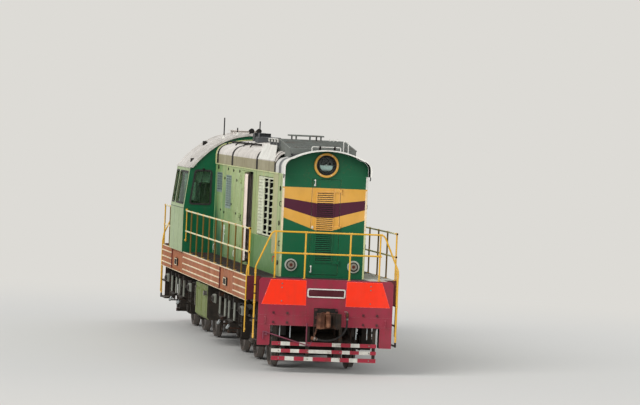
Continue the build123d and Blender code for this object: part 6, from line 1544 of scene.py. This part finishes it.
class LOCO_OT_bogie_trim(bpy.types.Operator):
    """Coil springs, dampers, sand pipes, pull rods, ribs and cover caps of the bogies"""
    bl_idname = "loco.bogie_trim"
    bl_label = "Bogie trim"

    def execute(self, context):
        wire = context.scene.loco_fittings.spring_wire
        for body, c in BOGIES:
            axles = (c - AXLE_STEP, c, c + AXLE_STEP)
            coils = grid([x + dx for x in axles for dx in (-0.1, 0.1)], (-1.09, 1.09), [0.715])
            grow(spring_tree, coils, f"{body}_coil_springs", "black_paint", "black", body=body, height=0.222,
                 radius=0.09, wire=wire)
            dampers, iron = Shape(), Shape()
            for side in (-1, 1):
                out = (0, side, 0)
                for x in (c - 0.725, c + 0.725):
                    low, high = Vector((x - 0.26, side * 1.543, 0.655)), Vector((x + 0.31, side * 1.543, 0.80))
                    run = (high - low).normalized()
                    dampers.turned(low, run, ((0.03, 0.020), (0.035, 0.028), (0.30, 0.028), (0.31, 0.02)), 0, 16)
                    iron.rod(low + run * 0.30, high, 0.013)
                    for tip in (low, high):
                        iron.rod(tip + Vector((0, -side * 0.37, 0)), tip + Vector((0, side * 0.028, 0)), 0.016)
                        profile = ((0, 0.028), (0.04, 0.028), (0.044, 0.02))
                        iron.turned(tip + Vector((0, -side * 0.02, 0)), out, profile, 0, 16)
                for x in (-2.3, -1.5, -0.72, 0.0, 0.72, 1.5, 2.3):
                    iron.block((c + x - 0.008, c + x + 0.008), (side * 1.18, side * 1.21), (0.965, 1.14), 0, 0.002)
                for x in axles:
                    profile = ((0, 0.07), (0.008, 0.07), (0.014, 0.06), (0.02, 0.03), (0.02, 0))
                    iron.turned((x, side * 1.24, AXLE_Z), out, profile, 0, 24)
                    iron.block((x - 0.19, x + 0.19), (side * 1.0, side * 1.19), (0.703, 0.712), 0, 0.003)
                    for dx in (-0.23, 0.23):
                        iron.block((x + dx - 0.03, x + dx + 0.03), (side * 1.18, side * 1.2), (0.46, 0.93), 0, 0.003)
                for end in ENDS:
                    pipe = ((2.64, 0.80, 0.95), (2.62, 0.785, 0.60), (2.47, 0.785, 0.15))
                    iron.tube([(c + end * x, side * y, z) for x, y, z in pipe], 0.017, 0, 0.12)
                    profile = ((0, 0.03), (0.012, 0.03), (0.016, 0.02), (0.016, 0))
                    iron.turned((c + end * 2.15, side * 1.54, 1.12), out, profile, 0, 12)
                    pipe = ((2.15, 1.44, 1.215), (2.15, 1.44, 1.26), (1.90, 1.25, 1.26), (1.75, 1.16, 1.16))
                    iron.tube([(c + end * x, side * y, z) for x, y, z in pipe], 0.012, 0, 0.04)
                iron.tube(((c - 2.55, side * 0.905, 0.43), (c + 2.6, side * 0.905, 0.43)), 0.014, 0, 0, 10)
                for x in (c - 2.609, c + 0.609, c + 2.609):
                    iron.tube(((x, side * 0.80, 0.49), (x, side * 0.905, 0.43)), 0.014, 0, 0, 10)
            place(dampers, f"{body}_dampers", "black_paint", "damper", body=body)
            place(iron, f"{body}_iron", "black_paint", "black", body=body)
        return {"FINISHED"}


class LOCO_OT_rear_hood_trim(bpy.types.Operator):
    """Doors, slats and handles of the rear hood"""
    bl_idname = "loco.rear_hood_trim"
    bl_label = "Rear hood trim"

    def execute(self, context):
        trim, iron, slats = Shape(), Shape(), []
        for side in (-1, 1):
            y = side * HOOD_Y
            for x0, x1 in ((-7.22, -6.52), (-6.42, -5.72)):
                trim.rim(rectangle((x0, x1), y, (1.96, 2.56)), 0.03, (0, side, 0), 0.02, 0, 0.006)
                iron.handle((x1 - 0.08, y, 2.2), (x1 - 0.08, y, 2.3), (0, side * 0.035, 0), 0.008)
                for z in (2.05, 2.45):
                    iron.rod((x0 - 0.012, y + side * 0.012, z - 0.04), (x0 - 0.012, y + side * 0.012, z + 0.04), 0.011)
            heights = [2.06 + 0.04 * i for i in range(10)]
            slats += grid([-6.87], [y + side * 0.008], heights, (radians(-38 * side), 0, 0))
        x = -NOSE_X
        for y0, y1 in ((-0.62, -0.02), (0.02, 0.62)):
            trim.rim(rectangle(x, (y0, y1), (2.28, 2.70)), 0.02, (-1, 0, 0), 0.02, 0, 0.006)
        iron.handle((x, -0.08, 2.42), (x, -0.08, 2.54), (-0.035, 0, 0), 0.008)
        iron.latch((x, 0.08, 2.48), (-1, 0, 0), 0.024)
        back = Matrix.Rotation(pi / 2, 3, "Z") @ Matrix.Rotation(radians(-52), 3, "X")
        heights = [2.33 + 0.042 * i for i in range(8)]
        slats += grid([x - 0.008], (-0.32, 0.32), heights, tuple(back.to_euler()))
        roof = roof_profile(3.31, 3.42, DECK_Z, 0.70, (6, 12))[1:-1]
        trim.arch(roof, (-7.312, -7.29), -0.003, 0.012)
        trim.arch(roof, (-6.48, -6.45), 0.0, 0.006)
        place(trim, "rear_hood_frames", "deep_green", "deep_green")
        place(iron, "rear_hood_iron", "black_paint", "black")
        grow(slat_tree, slats, "rear_hood_slats", "deep_green", "deep_green", length=0.46, width=0.034,
             thickness=0.003, dish=0.02)
        return {"FINISHED"}


class LOCO_OT_stage(bpy.types.Operator):
    """Seamless pale floor, soft lights and the camera"""
    bl_idname = "loco.stage"
    bl_label = "Set the stage"

    def execute(self, context):
        settings = context.scene.loco_stage
        scene = context.scene
        scene.view_settings.view_transform = "Standard"
        pale = tuple(settings.floor_colour) + (1.0,)
        bpy.ops.mesh.primitive_plane_add(size=400, location=(0, 0, -0.001))
        floor = context.object
        floor.name = "studio_floor"
        made, tree, shader, position = start_material("pale_studio_floor")
        fill(tree, shader, {"Base Color": tuple(0.87 * value for value in pale[:3]) + (1.0,), "Roughness": 0.95,
                            "Specular IOR Level": 0.1})
        # The floor keeps the shadow near the locomotive and runs into the backdrop's colour further off
        far = add(tree, "ShaderNodeVectorMath", {0: position}, operation="LENGTH").outputs["Value"]
        fade = add(tree, "ShaderNodeMapRange", {"Value": far, "From Min": 9.0, "From Max": 26.0},
                   interpolation_type="SMOOTHSTEP")
        glow = add(tree, "ShaderNodeEmission", {"Color": pale, "Strength": 1.0})
        mixed = add(tree, "ShaderNodeMixShader", {0: fade, 1: shader, 2: glow})
        fill(tree, tree.nodes["Material Output"], {"Surface": mixed})
        floor.data.materials.append(made)
        world = bpy.data.worlds.new("soft_studio")
        scene.world = world
        world.use_nodes = True
        tree = world.node_tree
        soft = tree.nodes["Background"]
        fill(tree, soft, {"Color": "#e9edf2", "Strength": 0.62})
        path = add(tree, "ShaderNodeLightPath").outputs
        seen = add(tree, MATH, {0: path["Is Camera Ray"], 1: path["Is Glossy Ray"]}, operation="MAXIMUM")
        seen = add(tree, MATH, {0: seen, 1: path["Is Transmission Ray"]}, operation="MAXIMUM")
        backdrop = add(tree, "ShaderNodeBackground", {"Color": pale, "Strength": 1.0})
        both = add(tree, "ShaderNodeMixShader", {0: seen, 1: soft, 2: backdrop})
        fill(tree, tree.nodes["World Output"], {"Surface": both})
        self.sun("key", (0.50, -0.62, 0.60), settings.key_strength, 35)
        self.sun("fill", (0.95, -0.10, 0.25), settings.key_strength * 0.38, 60)
        self.sun("back", (-0.7, 0.5, 0.6), settings.key_strength * 0.3, 60)
        data = bpy.data.cameras.new("camera")
        data.lens = settings.lens
        data.sensor_width = 36
        data.clip_end = 500
        camera = bpy.data.objects.new("camera", data)
        scene.collection.objects.link(camera)
        yaw, elevation, roll = radians(9.147), radians(1.441), radians(2.506)
        ray = Vector((cos(elevation) * cos(yaw), -cos(elevation) * sin(yaw), sin(elevation)))
        target, distance = Vector((BEAM_X, -0.209, 3.395 + RAIL)), 72.179
        where = target + distance * ray
        level = (-ray).cross(Vector((0, 0, 1))).normalized()
        upright = level.cross(-ray)
        right = cos(roll) * level + sin(roll) * upright
        top = -sin(roll) * level + cos(roll) * upright
        camera.matrix_world = Matrix.Translation(where) @ Matrix((right, top, ray)).transposed().to_4x4()
        scene.camera = camera
        return {"FINISHED"}

    def sun(self, name, direction, strength, spread):
        """Broad soft light that shines from a direction."""
        data = bpy.data.lights.new(name, "SUN")
        data.energy = strength
        data.angle = radians(spread)
        lamp = bpy.data.objects.new(name, data)
        lamp.rotation_euler = Vector(direction).to_track_quat("Z", "Y").to_euler()
        bpy.context.scene.collection.objects.link(lamp)


class LOCO_PT_panel(bpy.types.Panel):
    """Lists the locomotive's builders in the sidebar"""
    bl_label = "Locomotive"
    bl_idname = "LOCO_PT_panel"
    bl_space_type = "VIEW_3D"
    bl_region_type = "UI"
    bl_category = "Locomotive"

    def draw(self, context):
        for operator in OPERATORS:
            self.layout.operator(operator.bl_idname)
        for group in (context.scene.loco_paints, context.scene.loco_fittings, context.scene.loco_stage):
            for name in group.bl_rna.properties.keys():
                if name not in ("rna_type", "name"):
                    self.layout.prop(group, name)


OPERATORS = (
    LOCO_OT_paint, LOCO_OT_beam_trim, LOCO_OT_bolts, LOCO_OT_coupler_trim, LOCO_OT_nose_trim, LOCO_OT_hood_trim,
    LOCO_OT_shutters, LOCO_OT_sills, LOCO_OT_corner_steps, LOCO_OT_door_trim, LOCO_OT_roof_trim,
    LOCO_OT_cab_windows, LOCO_OT_cab_trim, LOCO_OT_cab_inside, LOCO_OT_rail_fittings, LOCO_OT_deck_fittings,
    LOCO_OT_tank_trim, LOCO_OT_bogie_trim, LOCO_OT_rear_hood_trim, LOCO_OT_stage,
)
GROUPS = (PaintSettings, FittingSettings, StageSettings)


def register():
    for cls in GROUPS + OPERATORS + (LOCO_PT_panel,):
        bpy.utils.register_class(cls)
    bpy.types.Scene.loco_paints = PointerProperty(type=PaintSettings)
    bpy.types.Scene.loco_fittings = PointerProperty(type=FittingSettings)
    bpy.types.Scene.loco_stage = PointerProperty(type=StageSettings)


def unregister():
    del bpy.types.Scene.loco_stage
    del bpy.types.Scene.loco_fittings
    del bpy.types.Scene.loco_paints
    for cls in reversed(GROUPS + OPERATORS + (LOCO_PT_panel,)):
        bpy.utils.unregister_class(cls)


def main():
    """Builds the whole locomotive."""
    register()
    for operator in OPERATORS:
        family, name = operator.bl_idname.split(".")
        getattr(getattr(bpy.ops, family), name)()


if __name__ == "__main__":
    main()
